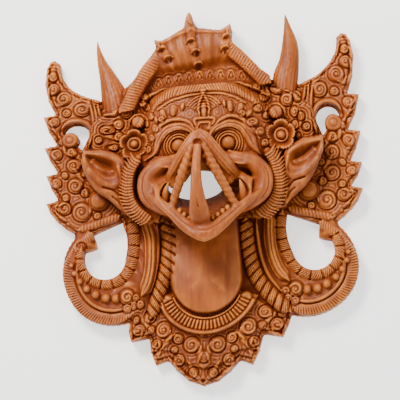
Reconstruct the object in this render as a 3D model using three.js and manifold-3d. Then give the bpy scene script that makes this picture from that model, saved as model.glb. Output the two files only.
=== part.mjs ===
import * as THREE from "three";
import { mergeVertices } from "three/addons/utils/BufferGeometryUtils.js";
import Module from "manifold-3d";

// A carved wooden garuda mask, all one piece of wood. It lies on its flat back:
// +Z comes out of the face, +Y runs up to the crest and +X to the right of someone who faces it.
// The carving is drawn symmetrical, right half first, and carved() then gives every
// point the lean and the forward droop that the hand-carved mask has.

const wasm = await Module();
wasm.setup();

// Driving sizes, in millimetres
const PLATE = 20; // thickness of the wings, loops and collar
const HEAD_RISE = 54; // from the plate's front to the brow
const JAW_RISE = 78; // from the plate's front to the jaw's rim at its corners
const CHIN_RISE = 16; // how much further the chin comes forward than the corners
const BEAK_RISE = 112; // from the plate's front to the ridge of the beak
const HOLLOW_DEPTH = 46; // of the hollow behind the face
const HOLLOW_HALF_WIDTH = 62;
const HOLLOW_HALF_HEIGHT = 78;
const THROAT_RISE = 19; // from the plate's front to the throat
const COLLAR_RISE = 3; // from the plate's front to the collar's upper tier
const EAR_RISE = 30; // from the plate's front to the ears' rims
const FLOWER_RISE = 36; // from the plate's front to the flowers' petals
const CREST_RISE = 24; // from the plate's front to the crest's rim
const CREST_TILT = THREE.MathUtils.degToRad(6.3);
const HORN_LIFT = 10; // how far a horn's tip bends forward
const RELIEF = 5; // how far scrolls and ribs stand proud
const SINK = 4; // how deep each carved form runs into the wood below it
const BOSS_RISE = 8; // height of round bosses
const EYE_RADIUS = 18; // of the eyeball with its ring
const FLOWER_RADIUS = 19;
const FLOWER_NOTCH = 11; // from the flower's middle to the notch between two petals
const HEART_RADIUS = 8; // of the flower's middle
const MOUTH_HALF_WIDTH = 57;
const MOUTH_ABOVE = 30; // from the mouth's middle to its upper edge
const MOUTH_BELOW = 46; // from the mouth's middle to the chin's inside

// Lean and droop of the whole carving
const DROOP_FROM = PLATE; // forms above this height hang forward and down
const DROOP_X = 0.07;
const DROOP_Y = -0.158;
const STRETCH_Y = 1.012;

const smooth = THREE.MathUtils.smoothstep;

function carved(geometry) {
  const p = geometry.getAttribute("position");
  for (let i = 0; i < p.count; i++) {
    const u = p.getX(i);
    const v = p.getY(i);
    const z = p.getZ(i);
    const lean = 0.04 + 0.05 * smooth(v, 20, 190) - 0.04 * smooth(-v, 150, 215);
    const side = 0.5 + 0.5 * smooth(Math.abs(u), 40, 100);
    const sway = 8.7 * Math.exp(-(((v + 118) / 70) ** 2)) * side;
    const drift = sway - 0.00018 * Math.max(v, 0) ** 2;
    const forward = Math.max(z - DROOP_FROM, 0);
    const x = u + drift + DROOP_X * forward;
    const y = (v + lean * u) * STRETCH_Y + DROOP_Y * forward;
    p.setXYZ(i, x, y, z);
  }
  return geometry;
}

// Solids

function solid(geometry) {
  const bare = geometry.index ? geometry.toNonIndexed() : geometry.clone();
  bare.deleteAttribute("normal");
  bare.deleteAttribute("uv");
  const merged = mergeVertices(carved(bare), 1e-4);
  return new wasm.Manifold(
    new wasm.Mesh({
      numProp: 3,
      vertProperties: merged.getAttribute("position").array,
      triVerts: new Uint32Array(merged.index.array),
    }),
  );
}

// The geometry's mirror image in the middle plane, with its faces still pointing out.
function mirrored(geometry) {
  const twin = geometry.index ? geometry.toNonIndexed() : geometry.clone();
  const p = twin.getAttribute("position");
  for (let i = 0; i < p.count; i += 3) {
    const a = new THREE.Vector3().fromBufferAttribute(p, i);
    const b = new THREE.Vector3().fromBufferAttribute(p, i + 1);
    const c = new THREE.Vector3().fromBufferAttribute(p, i + 2);
    p.setXYZ(i, -a.x, a.y, a.z);
    p.setXYZ(i + 1, -c.x, c.y, c.z);
    p.setXYZ(i + 2, -b.x, b.y, b.z);
  }
  return twin;
}

const pair = (geometry) => [solid(geometry), solid(mirrored(geometry))];
const pairs = (geometries) => geometries.flatMap(pair);

function joined(solids) {
  let layer = solids;
  while (layer.length > 1) {
    const next = [];
    for (let i = 0; i < layer.length; i += 2)
      next.push(i + 1 < layer.length ? layer[i].add(layer[i + 1]) : layer[i]);
    layer = next;
  }
  return layer[0];
}

// Forms

// A flat shape raised from z0 to z1, its edges chamfered by bevel.
function slab(shape, z0, z1, bevel = 0) {
  const geometry = new THREE.ExtrudeGeometry(shape, {
    depth: z1 - z0 - 2 * bevel,
    bevelEnabled: bevel > 0,
    bevelThickness: bevel,
    bevelSize: bevel,
    bevelOffset: -bevel,
    bevelSegments: 1,
  });
  return geometry.translate(0, 0, z0 + bevel);
}

// A round form turned from [radius share, height] points, stretched to an ellipse.
function dome(x, y, rx, ry, profile, segments = 12) {
  const points = profile.map(([r, z]) => new THREE.Vector2(r, z));
  return new THREE.LatheGeometry(points, segments)
    .rotateX(Math.PI / 2)
    .scale(rx, ry, 1)
    .translate(x, y, 0);
}

// A small oval form, such as a petal or a bead, turned by angle in the mask's plane.
function petal(x, y, z, rx, ry, rz, angle = 0, detail = 0) {
  return new THREE.IcosahedronGeometry(1, detail)
    .scale(rx, ry, rz)
    .rotateZ(angle)
    .translate(x, y, z);
}

// A block with sloping sides lying across a band, its top at z.
function rib(x, y, z, length, width, angle, height = RELIEF + SINK) {
  const TOP_LENGTH = 0.7;
  const TOP_WIDTH = 0.6;
  const geometry = new THREE.BoxGeometry(length, width, height);
  const p = geometry.getAttribute("position");
  for (let i = 0; i < p.count; i++)
    if (p.getZ(i) > 0) p.setXY(i, p.getX(i) * TOP_LENGTH, p.getY(i) * TOP_WIDTH);
  return geometry.rotateZ(angle).translate(x, y, z - height / 2);
}

// A limb along points [x, y, z, half width, half depth], such as a horn or a strut.
// Its girth swells and narrows by ripple at every other step.
function limb(points, sides = 6, steps = 8, ripple = 0) {
  const line = new THREE.CatmullRomCurve3(
    points.map(([x, y, z]) => new THREE.Vector3(x, y, z)),
  );
  const geometry = new THREE.CylinderGeometry(1, 1, 1, sides, steps);
  const p = geometry.getAttribute("position");
  const out = new THREE.Vector3(0, 0, 1);
  for (let i = 0; i < p.count; i++) {
    const t = THREE.MathUtils.clamp(p.getY(i) + 0.5, 0, 1);
    const place = line.getPoint(t);
    const along = line.getTangent(t);
    const across = new THREE.Vector3().crossVectors(along, out).normalize();
    const up = new THREE.Vector3().crossVectors(across, along);
    const at = t * (points.length - 1);
    const k = Math.min(Math.floor(at), points.length - 2);
    const wide = THREE.MathUtils.lerp(points[k][3], points[k + 1][3], at - k);
    const deep = THREE.MathUtils.lerp(points[k][4], points[k + 1][4], at - k);
    const girth = 1 + ripple * Math.cos(Math.PI * Math.round(t * steps));
    place.addScaledVector(across, p.getX(i) * wide * girth);
    place.addScaledVector(up, p.getZ(i) * deep * girth);
    p.setXYZ(i, place.x, place.y, place.z);
  }
  return geometry;
}

// A spiral scroll of the given radius that starts at angle, winds inwards and rises.
function volute(x, y, z, radius, angle, hand = 1, height = RELIEF) {
  const STEPS = 5;
  const TURN = 1.8 * Math.PI;
  const INWARD = 0.66; // how much of its radius the scroll loses
  const BAND = 0.42; // the band's width, as a share of the radius there
  const place = (r, a) => new THREE.Vector2(x + r * Math.cos(a), y + r * Math.sin(a));
  const outer = [];
  const inner = [];
  for (let i = 0; i <= STEPS; i++) {
    const t = i / STEPS;
    const a = angle + hand * TURN * t;
    const r = radius * (1 - INWARD * t);
    outer.push(place(r, a));
    if (i < STEPS) inner.push(place(r * (1 - BAND * smooth(t, -0.3, 0.3)), a));
  }
  const geometry = slab(new THREE.Shape([...outer, ...inner.reverse()]), z - SINK, z + height);
  const p = geometry.getAttribute("position");
  for (let i = 0; i < p.count; i++) {
    const share = Math.hypot(p.getX(i) - x, p.getY(i) - y) / radius;
    if (p.getZ(i) > z) p.setZ(i, z + height * (1.4 - share));
  }
  return geometry;
}

// A domed boss inside a raised ring.
function boss(x, y, z, radius, segments = 10) {
  const top = z + BOSS_RISE;
  return dome(x, y, radius, radius, [
    [0, z - SINK],
    [1, z - SINK],
    [1, top - 4],
    [0.75, top - 6],
    [0.6, top - 2],
    [0, top],
  ], segments);
}

// Places along a polyline of [x, y] points, each with the line's direction.
function along(points, count) {
  const curve = new THREE.SplineCurve(points.map(([x, y]) => new THREE.Vector2(x, y)));
  return Array.from({ length: count }, (_, i) => {
    const t = (i + 0.5) / count;
    const at = curve.getPointAt(t);
    const dir = curve.getTangentAt(t);
    return { x: at.x, y: at.y, angle: Math.atan2(dir.y, dir.x), t };
  });
}

const vectors = (points) => points.map(([x, y]) => new THREE.Vector2(x, y));
const flipped = (points) => points.map(([x, y]) => [-x, y]).reverse();

// The plate: wings, loops and collar

const LOOP_CENTRE = [121, -88];
const LOOP_RADIUS = 63.5;
const LOOP_HOLE_CENTRE = [131, -70];
const LOOP_HOLE_RADIUS = 26;
const WING_HOLE_CENTRE = [156.5, 89.5];
const WING_HOLE_RADIUS = 14;
const CURL_CENTRE = [162, 82.5];
const CURL_RADIUS = 10;
const COLLAR_EDGE = [[0, -231], [18, -225], [33, -213], [44.4, -200], [60, -205.5], [67, -189],
  [70.6, -170.5], [93.8, -174.5], [99, -161]];
const WING_EDGE = [[164, -37], [174, -30], [184, -21], [192, -11], [197.8, 2.2], [182.2, 5.6],
  [191, 20], [197, 37.2], [181.6, 39.7], [190, 56], [196, 74.4], [179.4, 76.9], [190, 96],
  [196, 117.2], [180.6, 118.8], [189, 138], [192, 160], [189, 179], [184, 187], [178, 189],
  [172, 184], [170, 167], [161, 153], [146, 141], [123, 131], [92, 140]];

function arc([x, y], radius, from, to, steps) {
  return Array.from({ length: steps + 1 }, (_, i) => {
    const a = THREE.MathUtils.lerp(from, to, i / steps);
    return [x + radius * Math.cos(a), y + radius * Math.sin(a)];
  });
}

const wingHole = () => [
  [150, 67.5],
  ...arc(WING_HOLE_CENTRE, WING_HOLE_RADIUS, -2.9, -6.1, 6),
  ...arc(CURL_CENTRE, CURL_RADIUS, 0.9, 3.9, 4),
];

const loopHole = () => [
  [102.5, -24],
  [99.7, -42],
  [101, -58],
  ...arc(LOOP_HOLE_CENTRE, LOOP_HOLE_RADIUS, -2.85, 0.4, 8),
  [147, -58.5],
  [139, -55.6],
  [141.5, -38.8],
  [122, -31.5],
];

function plate() {
  const right = [...COLLAR_EDGE, ...arc(LOOP_CENTRE, LOOP_RADIUS, -1.88, 0.8, 10), ...WING_EDGE];
  const shape = new THREE.Shape(vectors([...right, ...flipped(right)].slice(0, -1)));
  for (const hole of [wingHole(), loopHole()])
    for (const edge of [hole, flipped(hole)]) shape.holes.push(new THREE.Path(vectors(edge)));
  return [solid(slab(shape, 0, PLATE))];
}

// Scrolls: [x, y, radius, start angle, hand]
const WING_SCROLLS = [
  [160, 57, 12, 2.2, -1],
  [158, 26, 13, 2.2, -1],
  [149, -14, 14, 2.4, -1],
  [166, 137, 12, -0.6, 1],
  [147, 118, 12, 2.0, -1],
];
const TEMPLE_SCROLLS = [
  [108, 110, 12, 1.2, 1],
];
const COLLAR_SCROLLS = [
  [53, -157, 13, -2.2, 1],
  [18, -180, 13, -2.6, 1],
];
// Leaf tips: [x, y, half length, half width, angle]
const WING_LEAVES = [
  [180, -11, 18, 8, 0.8],
  [182, 22, 15, 7, 0.9],
  [181, 58, 15, 7, 0.95],
  [183, 100, 16, 6, 1.15],
  [182, 166, 19, 7, 1.6],
];
const COLLAR_LEAVES = [
  [17, -211, 15, 7, -2.6],
  [57, -187, 14, 8, -1.4],
  [85, -160, 12, 8, -1.3],
];
const DISC = [130, 2, PLATE + 1, 13.5];
const LOOP_SCROLL = [106, -119, 11, 1.4, 1];
const BEADS = [
  [124, -119, 6.4],
  [139, -116, 5.8],
  [153, -107, 5],
];
const FLUTES = 8;
const INNER_RIBS = 6;
const LOOP_INNER = [[93, -30], [91, -50], [93, -71], [101, -90], [115, -102], [132, -106]];

const scrolls = (list, z) => list.map(([x, y, r, a, hand]) => volute(x, y, z, r, a, hand));
const leaves = (list, z) => list.map(([x, y, rx, ry, a]) => petal(x, y, z, rx, ry, RELIEF + 1, a));

function wings() {
  const RIM_INSET = 7.5;
  const RIPPLE = 0.2;
  const band = (line, ribs) =>
    limb(line.map(([x, y]) => [x, y, PLATE, 5, RELIEF + 2]), 4, 2 * ribs, RIPPLE);
  const rim = band(arc(LOOP_CENTRE, LOOP_RADIUS - RIM_INSET, -1.7, 0.55, 6), FLUTES);
  const inner = band(LOOP_INNER, INNER_RIBS);
  const leaf = limb([
    [85, -24, PLATE + 5, 4, 8],
    [79, -60, PLATE + 5, 7, 8],
    [82, -90, PLATE + 4, 7, 8],
    [96, -112, PLATE, 4, 7],
  ], 5, 4);
  return [
    ...pairs(scrolls(WING_SCROLLS, PLATE)),
    ...pairs([rim, inner, leaf]),
    ...pairs(leaves(WING_LEAVES, PLATE)),
    ...pairs([
      boss(...DISC),
      petal(...CURL_CENTRE, PLATE, CURL_RADIUS - 2, CURL_RADIUS - 2, RELIEF),
      ...scrolls([LOOP_SCROLL], PLATE + 1),
      ...BEADS.map(([x, y, r]) => petal(x, y, PLATE, r, r, r + 2)),
    ]),
  ];
}

function collar() {
  const edge = [[0, -211], [26, -203], [38, -189], [56, -187], [62, -167], [78, -163], [84, -146],
    [62, -128]];
  const lift = PLATE + COLLAR_RISE;
  const tiers = new THREE.Shape(vectors([...edge, ...flipped(edge)].slice(0, -1)));
  return [
    solid(slab(tiers, PLATE - SINK, lift)),
    ...pairs(scrolls(COLLAR_SCROLLS, lift)),
    ...pairs(leaves(COLLAR_LEAVES, lift - 1)),
    solid(petal(0, -196, lift, 7, 7, 6)),
  ];
}

// Throat, necklace and ropes

const SHIELD_CENTRE = -96;
const SHIELD_RADIUS = 44;
const NECKLACE_CENTRE = -104;
const NECKLACE_INNER = 50;
const NECKLACE_OUTER = 63;
const NECKLACE_RIM = 4.5;
const NECKLACE_RIBS = 9;
const ROPE = [[54, -33], [53, -56], [55, -81], [62, -105], [73, -122], [86, -135], [96, -141]];
const ROPE_STRANDS = 8;
const ROPE_SLANT = 1.05;

function throat() {
  const front = PLATE + THROAT_RISE;
  const centre = [0, NECKLACE_CENTRE];
  const shield = new THREE.Shape(vectors([
    [SHIELD_RADIUS, -20],
    [-SHIELD_RADIUS, -20],
    ...arc([0, SHIELD_CENTRE], SHIELD_RADIUS, Math.PI, 2 * Math.PI, 9),
  ]));
  const FROM = Math.PI * 1.14;
  const TO = Math.PI * 1.86;
  const band = (inner, outer) => new THREE.Shape(vectors([
    ...arc(centre, outer, FROM, TO, 9),
    ...arc(centre, inner, TO, FROM, 9),
  ]));
  const bed = slab(band(NECKLACE_INNER - 8, NECKLACE_OUTER), PLATE - SINK, front - 7);
  const rim = slab(band(NECKLACE_OUTER - NECKLACE_RIM, NECKLACE_OUTER), front - 9, front - 2);
  const middle = (NECKLACE_INNER + NECKLACE_OUTER - NECKLACE_RIM) / 2;
  const beads = arc(centre, middle, FROM + 0.06, TO - 0.06, NECKLACE_RIBS - 1).map(([x, y]) =>
    rib(x, y, front - 1, 7, 9.5, Math.atan2(y - NECKLACE_CENTRE, x), 8),
  );
  const strands = along(ROPE, ROPE_STRANDS).map(({ x, y, angle, t }) =>
    rib(x, y, PLATE + 17 - 8 * t, 13, 12, angle + ROPE_SLANT, 18 - 8 * t),
  );
  return [
    solid(slab(shield, PLATE - SINK, front, 5)),
    ...[bed, rim, ...beads].map(solid),
    ...pairs(strands),
  ];
}

// The head: dome, brows, eyes, ears, flowers and crown

const HEAD_CENTRE = 58;
const HEAD_HALF_WIDTH = 86;
const HEAD_HALF_HEIGHT = 94;
const EYE = [31.4, 65];
const FLOWER = [92.5, 75];

function head() {
  const base = PLATE - SINK;
  const rise = (share) => PLATE + HEAD_RISE * share;
  const edge = [[60, -32], [104, -18], [126, 30], [140, 66], [138, 104], [112, 124], [70, 138],
    [0, 144]];
  const bank = new THREE.Shape(vectors([...edge, ...flipped(edge).slice(1)]));
  return [
    solid(slab(bank, base, rise(0.2))),
    solid(dome(0, HEAD_CENTRE, HEAD_HALF_WIDTH, HEAD_HALF_HEIGHT, [
      [0, base], [1, base], [1, rise(0.3)], [0.93, rise(0.62)], [0.78, rise(0.84)],
      [0.45, rise(0.97)], [0, rise(1)],
    ], 16)),
  ];
}

function eyes() {
  const [x, y] = EYE;
  const z = PLATE + HEAD_RISE;
  const ball = dome(x, y, EYE_RADIUS, EYE_RADIUS, [
    [0, z - 10], [1, z - 10], [1, z], [0.8, z - 1], [0.64, z + 4], [0, z + 9],
  ], 10);
  const brow = limb([
    [x - 22, y + 9.5, z, 3, 6],
    [x - 16, y + 21.5, z + 3, 4.5, 7],
    [x + 1, y + 28.5, z + 1, 5.5, 7],
    [x + 18, y + 19, z - 5, 6, 7],
    [x + 30, y - 3, z - 10, 6.5, 7],
    [x + 35, y - 16, z - 16, 4, 6],
  ], 5, 5);
  return pairs([ball, brow]);
}

function flowers() {
  const [x, y] = FLOWER;
  const z = PLATE + FLOWER_RISE;
  const PETALS = 5;
  const outline = [];
  for (let i = 0; i < PETALS * 3; i++) {
    const a = Math.PI / 2 + (2 * Math.PI * (i - 0.5)) / (PETALS * 3);
    const r = [FLOWER_RADIUS, FLOWER_RADIUS, FLOWER_NOTCH][i % 3];
    outline.push([x + r * Math.cos(a), y + r * Math.sin(a)]);
  }
  const petals = slab(new THREE.Shape(vectors(outline)), PLATE, z, 3);
  const heart = dome(x, y, HEART_RADIUS, HEART_RADIUS, [
    [0, z - SINK], [1, z - SINK], [1, z + 2], [0, z + 8],
  ], 6);
  const gem = petal(87, 99.5, PLATE + 22, 9, 9, 13);
  return [...pairs([petals, heart, gem]), ...pairs(scrolls(TEMPLE_SCROLLS, PLATE + 10))];
}

function ears() {
  const front = PLATE + EAR_RISE;
  const outline = new THREE.Shape(
    vectors([[147, 68], [121, 66], [102, 56], [97, 40], [97, 0], [100, -14], [110, -6],
      [122, 5], [133, 18], [143, 38], [149, 56]]),
  );
  const body = pair(slab(outline, PLATE - SINK, front, 3));
  const hollow = pair(petal(123, 47, front + 3, 22, 9.5, 16, 0.62, 1));
  const folds = pairs([
    petal(113, 12, front - 3, 24, 9, 7, 0.95),
    limb([
      [137, 50, front - 8, 2.5, 6],
      [120, 36, front - 4, 3, 7],
      [106, 22, front - 3, 3, 6],
    ], 5, 2),
  ]);
  return body.map((ear, i) => ear.subtract(hollow[i])).concat(folds);
}

function crown() {
  const z = PLATE + HEAD_RISE;
  const CROWN_RIBS = 7;
  const band = limb([
    [-74, 106, z - 22, 6, 8],
    [-46, 125, z - 9, 8, 9],
    [0, 134, z - 5, 9, 9],
    [46, 125, z - 9, 8, 9],
    [74, 106, z - 22, 6, 8],
  ], 5, 2 * CROWN_RIBS, 0.12);
  const drops = [[35, 108, 0.1], [49, 104, -0.25]].map(([x, y, a]) =>
    petal(x, y, z - 5, 4.4, 8, 7, a),
  );
  const cartouche = limb([
    [4, 128, z + 2, 4, 6],
    [4, 114, z + 5, 9, 7],
    [3, 100, z + 7, 8, 7],
    [1, 90, z + 9, 11, 7],
  ], 6, 4);
  const curl = volute(19, 113, z - 2, 9, 2.6, -1);
  return [solid(band), ...pairs([curl, ...drops]), solid(cartouche)];
}

// The crest, turned to one side about its foot

function tilted(geometry) {
  const FOOT = 144;
  return geometry.translate(0, -FOOT, 0).rotateZ(CREST_TILT).translate(0, FOOT, 0);
}

const CREST_RIGHT = [[85, 124], [84.2, 133], [76, 145.5], [66, 160], [56, 174], [48.5, 183],
  [47.4, 191.3], [50.4, 201], [49.4, 208.7], [35.5, 202.8], [17.5, 207.6], [7, 210.5], [3.5, 220]];
const CREST_TIP = [2, 233.5];
const CREST_SIDES = [
  [[77, 138], [66, 152], [53, 168], [43, 182]],
  [[-88, 142], [-76, 159], [-61, 174], [-47, 186]],
];
const CREST_LEFT = [[-3.5, 224.5], [-7.7, 215], [-20, 211.3], [-33.4, 206.4], [-41, 205],
  [-48.1, 209.4], [-46.8, 202], [-48.2, 195.4], [-56, 188], [-71, 175.5], [-80, 164], [-87, 155],
  [-96, 140], [-96, 124]];

function crest() {
  const rim = PLATE + CREST_RISE;
  const outline = new THREE.Shape(vectors([...CREST_RIGHT, CREST_TIP, ...CREST_LEFT]));
  const fan = slab(outline, PLATE - 16, rim);
  const scoop = dome(-3, 161, 52, 31, [
    [0, rim - 14], [0.7, rim - 10], [1, rim + 4], [0, rim + 5],
  ], 10);
  const BORDER_RIBS = 4;
  const border = (points) => limb(points, 4, 2 * BORDER_RIBS, 0.14);
  const borders = [
    border(CREST_SIDES[0].map(([x, y]) => [x, y, rim, 6.5, 6])),
    border(CREST_SIDES[1].map(([x, y]) => [x, y, rim, 6.5, 6])),
  ];
  const ridge = (x0, y0, x1, y1) => limb([
    [x0, y0, rim - 4, 1.5, 3],
    [THREE.MathUtils.lerp(x0, x1, 0.3), THREE.MathUtils.lerp(y0, y1, 0.3), rim - 1, 5, 6],
    [x1, y1, rim - 10, 5, 6],
  ], 5, 3);
  const ridges = [ridge(2, 229, 0, 162), ridge(48.5, 204, 32, 160), ridge(-46.5, 205, -34, 160)];
  const bowl = solid(tilted(fan)).subtract(solid(tilted(scoop)));
  return [bowl, ...[...borders, ...ridges].map((form) => solid(tilted(form)))];
}

// The horns: [x, y, half width] from foot to tip, each as it was carved
const LEFT_HORN = [[-112, 120, 13], [-112.5, 136, 13.2], [-116.5, 162, 9], [-121.5, 181, 5.4],
  [-124.8, 197, 2.8], [-125.5, 210, 0.6]];
const RIGHT_HORN = [[103, 124, 15], [106, 141, 15.5], [110.5, 156, 12.5], [112.8, 170, 11],
  [113.6, 184, 8.6], [112.6, 200, 4.6], [111, 219, 0.6]];

function horn(points) {
  const last = points.length - 1;
  const root = PLATE - 3;
  const FLATTEN = 0.85;
  const turned = points.map(([x, y, r], i) => {
    const z = root + HORN_LIFT * (i / last) ** 2;
    return [x, y, z, r, r * FLATTEN];
  });
  return limb(turned, 7, 6);
}

// The mouth: funnel, jaw, lips, beak and teeth

const MOUTH = [3, 4]; // the middle of the mouth's front
const MOUTH_HOLE = { x: -9, y: 15, rx: 35, ry: 17.5 };
const JAW = [[0, -52.5], [10, -48], [20, -40], [40, -15.5], [57, -2]];
const JAW_TAPER = 0.55; // how far the jaw's underside draws back towards the throat

// The space inside the mouth, from its wide front to the small hole at the back.
function funnel() {
  const SIDES = 14;
  const geometry = new THREE.CylinderGeometry(1, 1, 1, SIDES, 3);
  const p = geometry.getAttribute("position");
  const levels = [-2, HOLLOW_DEPTH - 8, PLATE + 60, PLATE + BEAK_RISE];
  const shares = [0, 0, 0.8, 1.12];
  for (let i = 0; i < p.count; i++) {
    const level = THREE.MathUtils.clamp(Math.round((p.getY(i) + 0.5) * 3), 0, 3);
    const x = p.getX(i);
    const y = -p.getZ(i);
    const tall = y < 0 ? MOUTH_BELOW * (1 - 0.35 * Math.abs(x)) : MOUTH_ABOVE;
    const wide = MOUTH_HALF_WIDTH - (y < 0 ? 10 * Math.abs(y) : 0);
    const s = shares[level];
    p.setXYZ(
      i,
      THREE.MathUtils.lerp(MOUTH_HOLE.x + MOUTH_HOLE.rx * x, MOUTH[0] + wide * x, s),
      THREE.MathUtils.lerp(MOUTH_HOLE.y + MOUTH_HOLE.ry * y, MOUTH[1] + tall * y, s),
      levels[level],
    );
  }
  return geometry;
}

function jaw() {
  const rim = PLATE + JAW_RISE;
  const right = vectors(JAW);
  const outline = new THREE.Shape([
    ...right,
    ...vectors([[60, 20], [40, 34], [-40, 34], [-60, 20]]),
    ...right.slice(1).reverse().map((p) => new THREE.Vector2(-p.x, p.y)),
  ]);
  const block = slab(outline, PLATE, rim, 4);
  const p = block.getAttribute("position");
  for (let i = 0; i < p.count; i++) {
    const front = smooth(p.getZ(i), PLATE, rim);
    const low = smooth(-p.getY(i), 0, 52);
    const high = smooth(p.getY(i), 0, 34);
    p.setY(i, p.getY(i) * (1 - (1 - JAW_TAPER) * low * (1 - front)));
    p.setZ(i, p.getZ(i) + front * (CHIN_RISE * low - 22 * high));
  }
  return block;
}

function cheeks() {
  const z = PLATE + HEAD_RISE + 6;
  return pairs([
    limb([
      [44, 42, z, 6, 8],
      [62, 38, z + 2, 9, 12],
      [76, 22, z, 11, 14],
      [73, 4, z + 2, 10, 13],
      [56, -10, z + 6, 7, 10],
      [38, -18, z + 13, 4, 7],
    ], 6, 7),
    limb([
      [38, 56, z + 6, 7, 8],
      [54, 47, z + 4, 8, 8],
      [68, 42, z - 4, 8, 8],
    ], 5, 3),
  ]);
}

function beard() {
  const line = [[80, 50], [87, 38], [90, 20], [88, 2], [80, -12], [68, -22]];
  const z = PLATE + HEAD_RISE * 0.62;
  return pairs(
    along(line, 6).map(({ x, y, angle }) => rib(x, y, z, 12, 11, angle + Math.PI / 2, 30)),
  );
}

function beak() {
  const rim = PLATE + JAW_RISE;
  const top = PLATE + BEAK_RISE;
  const brow = PLATE + HEAD_RISE;
  const ridge = limb([
    [-5, 92, brow, 6, 8],
    [-6, 80, brow + 22, 9, 14],
    [-6.5, 64, top - 12, 10, 12],
    [-8, 44, top - 1, 6.5, 8],
    [-8.5, 20, top, 6.5, 7],
    [-7.5, -4, top - 4, 9, 8],
    [-5.5, -22, top - 12, 10.5, 8],
    [-4.5, -32, rim + 6, 6, 6],
  ], 6, 8);
  const fold = (side, shift) => limb([
    [side * 6 + shift, 72, brow + 18, 7, 8],
    [side * 20 + shift, 58, brow + 14, 7, 9],
    [side * 36 + shift, 47, brow + 8, 7, 9],
    [side * 52 + shift, 38, brow + 2, 6, 8],
  ], 5, 4);
  const strut = (side) => limb([
    [side * 7 - 6, 62, top - 24, 4, 6],
    [side * 20 - 4.5, 32, rim + 8, 3.5, 5],
    [side * 31 - 2, 7, rim + 4, 3.5, 5],
    [side * 40 + 1, -14, rim, 3.5, 5],
  ], 5, 4);
  const TEETH = 3;
  const teeth = [];
  for (const side of [-1, 1]) {
    for (let i = 0; i < TEETH; i++) {
      const t = (i + 1) / (TEETH + 1);
      const x = side * (4 + 30 * t) - 6 + 4 * t;
      teeth.push(petal(x, 58 - 58 * t, rim + 5 - 4 * t, 3.6, 4.2, 4.5, side * 0.5));
    }
    teeth.push(limb([
      [side * 46, 36, brow - 6, 6, 6],
      [side * 41, 20, brow + 2, 3.5, 3.5],
      [side * 37, 4, brow + 6, 1, 1],
    ], 5, 2));
  }
  return [ridge, fold(-1, -3), fold(1, -3), strut(-1), strut(1), ...teeth].map(solid);
}

// The whole mask

function mask() {
  const hollow = solid(dome(0, 52, HOLLOW_HALF_WIDTH, HOLLOW_HALF_HEIGHT, [
    [0, -5], [1, -5], [0.95, HOLLOW_DEPTH * 0.55], [0.6, HOLLOW_DEPTH * 0.92], [0, HOLLOW_DEPTH],
  ], 14));
  const core = joined([...head(), solid(jaw()), ...cheeks()]);
  const shell = core.subtract(solid(funnel()));
  const whole = joined([
    ...plate(), ...wings(), ...collar(), ...throat(), shell, ...eyes(), ...flowers(), ...ears(),
    ...crown(), ...crest(), solid(horn(LEFT_HORN)), solid(horn(RIGHT_HORN)), ...beard(),
  ]);
  return whole.subtract(hollow).subtract(solid(funnel())).add(joined(beak()));
}

function geometryOf(made) {
  const mesh = made.getMesh();
  const position = new Float32Array(mesh.numVert * 3);
  for (let i = 0; i < mesh.numVert; i++)
    position.set(mesh.vertProperties.subarray(i * mesh.numProp, i * mesh.numProp + 3), i * 3);
  const geometry = new THREE.BufferGeometry();
  geometry.setAttribute("position", new THREE.BufferAttribute(position, 3));
  geometry.setIndex(new THREE.BufferAttribute(mesh.triVerts, 1));
  geometry.computeVertexNormals();
  return geometry;
}

// The origin is the middle of the mask's box, on the surface that it lies on.
function centred(geometry) {
  geometry.computeBoundingBox();
  const middle = geometry.boundingBox.getCenter(new THREE.Vector3());
  return geometry.translate(-middle.x, -middle.y, -geometry.boundingBox.min.z);
}

const wood = new THREE.MeshStandardMaterial({
  name: "carved_wood",
  color: new THREE.Color(0.52, 0.22, 0.09),
  roughness: 0.45,
  metalness: 0,
});

const carving = new THREE.Mesh(centred(geometryOf(mask())), wood);
carving.name = "garuda_mask";

const group = new THREE.Group();
group.add(carving);

export default group;
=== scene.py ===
"""A carved wooden garuda mask that lies on its back.

The carving is one mesh. A map of heights holds the low relief, a field of distances adds the
forms that stand free of it, and the surface of the two is drawn out as one skin.
"""

import math

import bpy
import numpy as np
from mathutils import Matrix, Vector


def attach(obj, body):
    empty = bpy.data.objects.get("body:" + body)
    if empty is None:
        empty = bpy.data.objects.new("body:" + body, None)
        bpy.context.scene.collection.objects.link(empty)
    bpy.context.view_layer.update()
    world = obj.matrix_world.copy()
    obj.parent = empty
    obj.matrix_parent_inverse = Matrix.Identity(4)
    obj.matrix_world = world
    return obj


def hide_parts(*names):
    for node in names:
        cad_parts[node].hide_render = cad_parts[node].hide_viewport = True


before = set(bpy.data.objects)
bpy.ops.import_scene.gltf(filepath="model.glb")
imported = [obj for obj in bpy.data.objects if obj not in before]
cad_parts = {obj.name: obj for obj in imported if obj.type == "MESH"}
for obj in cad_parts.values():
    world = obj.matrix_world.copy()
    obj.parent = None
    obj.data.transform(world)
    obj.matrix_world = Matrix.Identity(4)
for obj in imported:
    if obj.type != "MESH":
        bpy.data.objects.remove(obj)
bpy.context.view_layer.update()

MM = 0.001
STEP = 1.05  # pitch of the field of distances, mm
FINE = 0.8  # pitch of the map of heights, mm
TRIANGLES = 190_000
CENTRE = (-0.1086, 0.7458)  # middle of the carving before it is centred, mm
WIDE, LOW, HIGH, TOP = 208.0, -240.0, 244.0, 142.0  # reach of the drawing, mm
PLATE = 20.0  # thickness of the wings, loops and collar, mm
RIM = 98.0  # height of the jaw's rim at its corners, mm
SNAP = 1.3  # the skin takes the height of the map where it is this near to it, mm
STEEP = 2.2  # and where the map is no steeper than this
INSET = 1.2  # and where the outline is further away than this, mm
BLURS = ((2, 1.1), (5, 0.9), (11, 0.4))  # reach in steps of the field and weight in the shade
FRINGE_PITCH = 3.5  # from blade to blade of the fringe, mm
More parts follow.
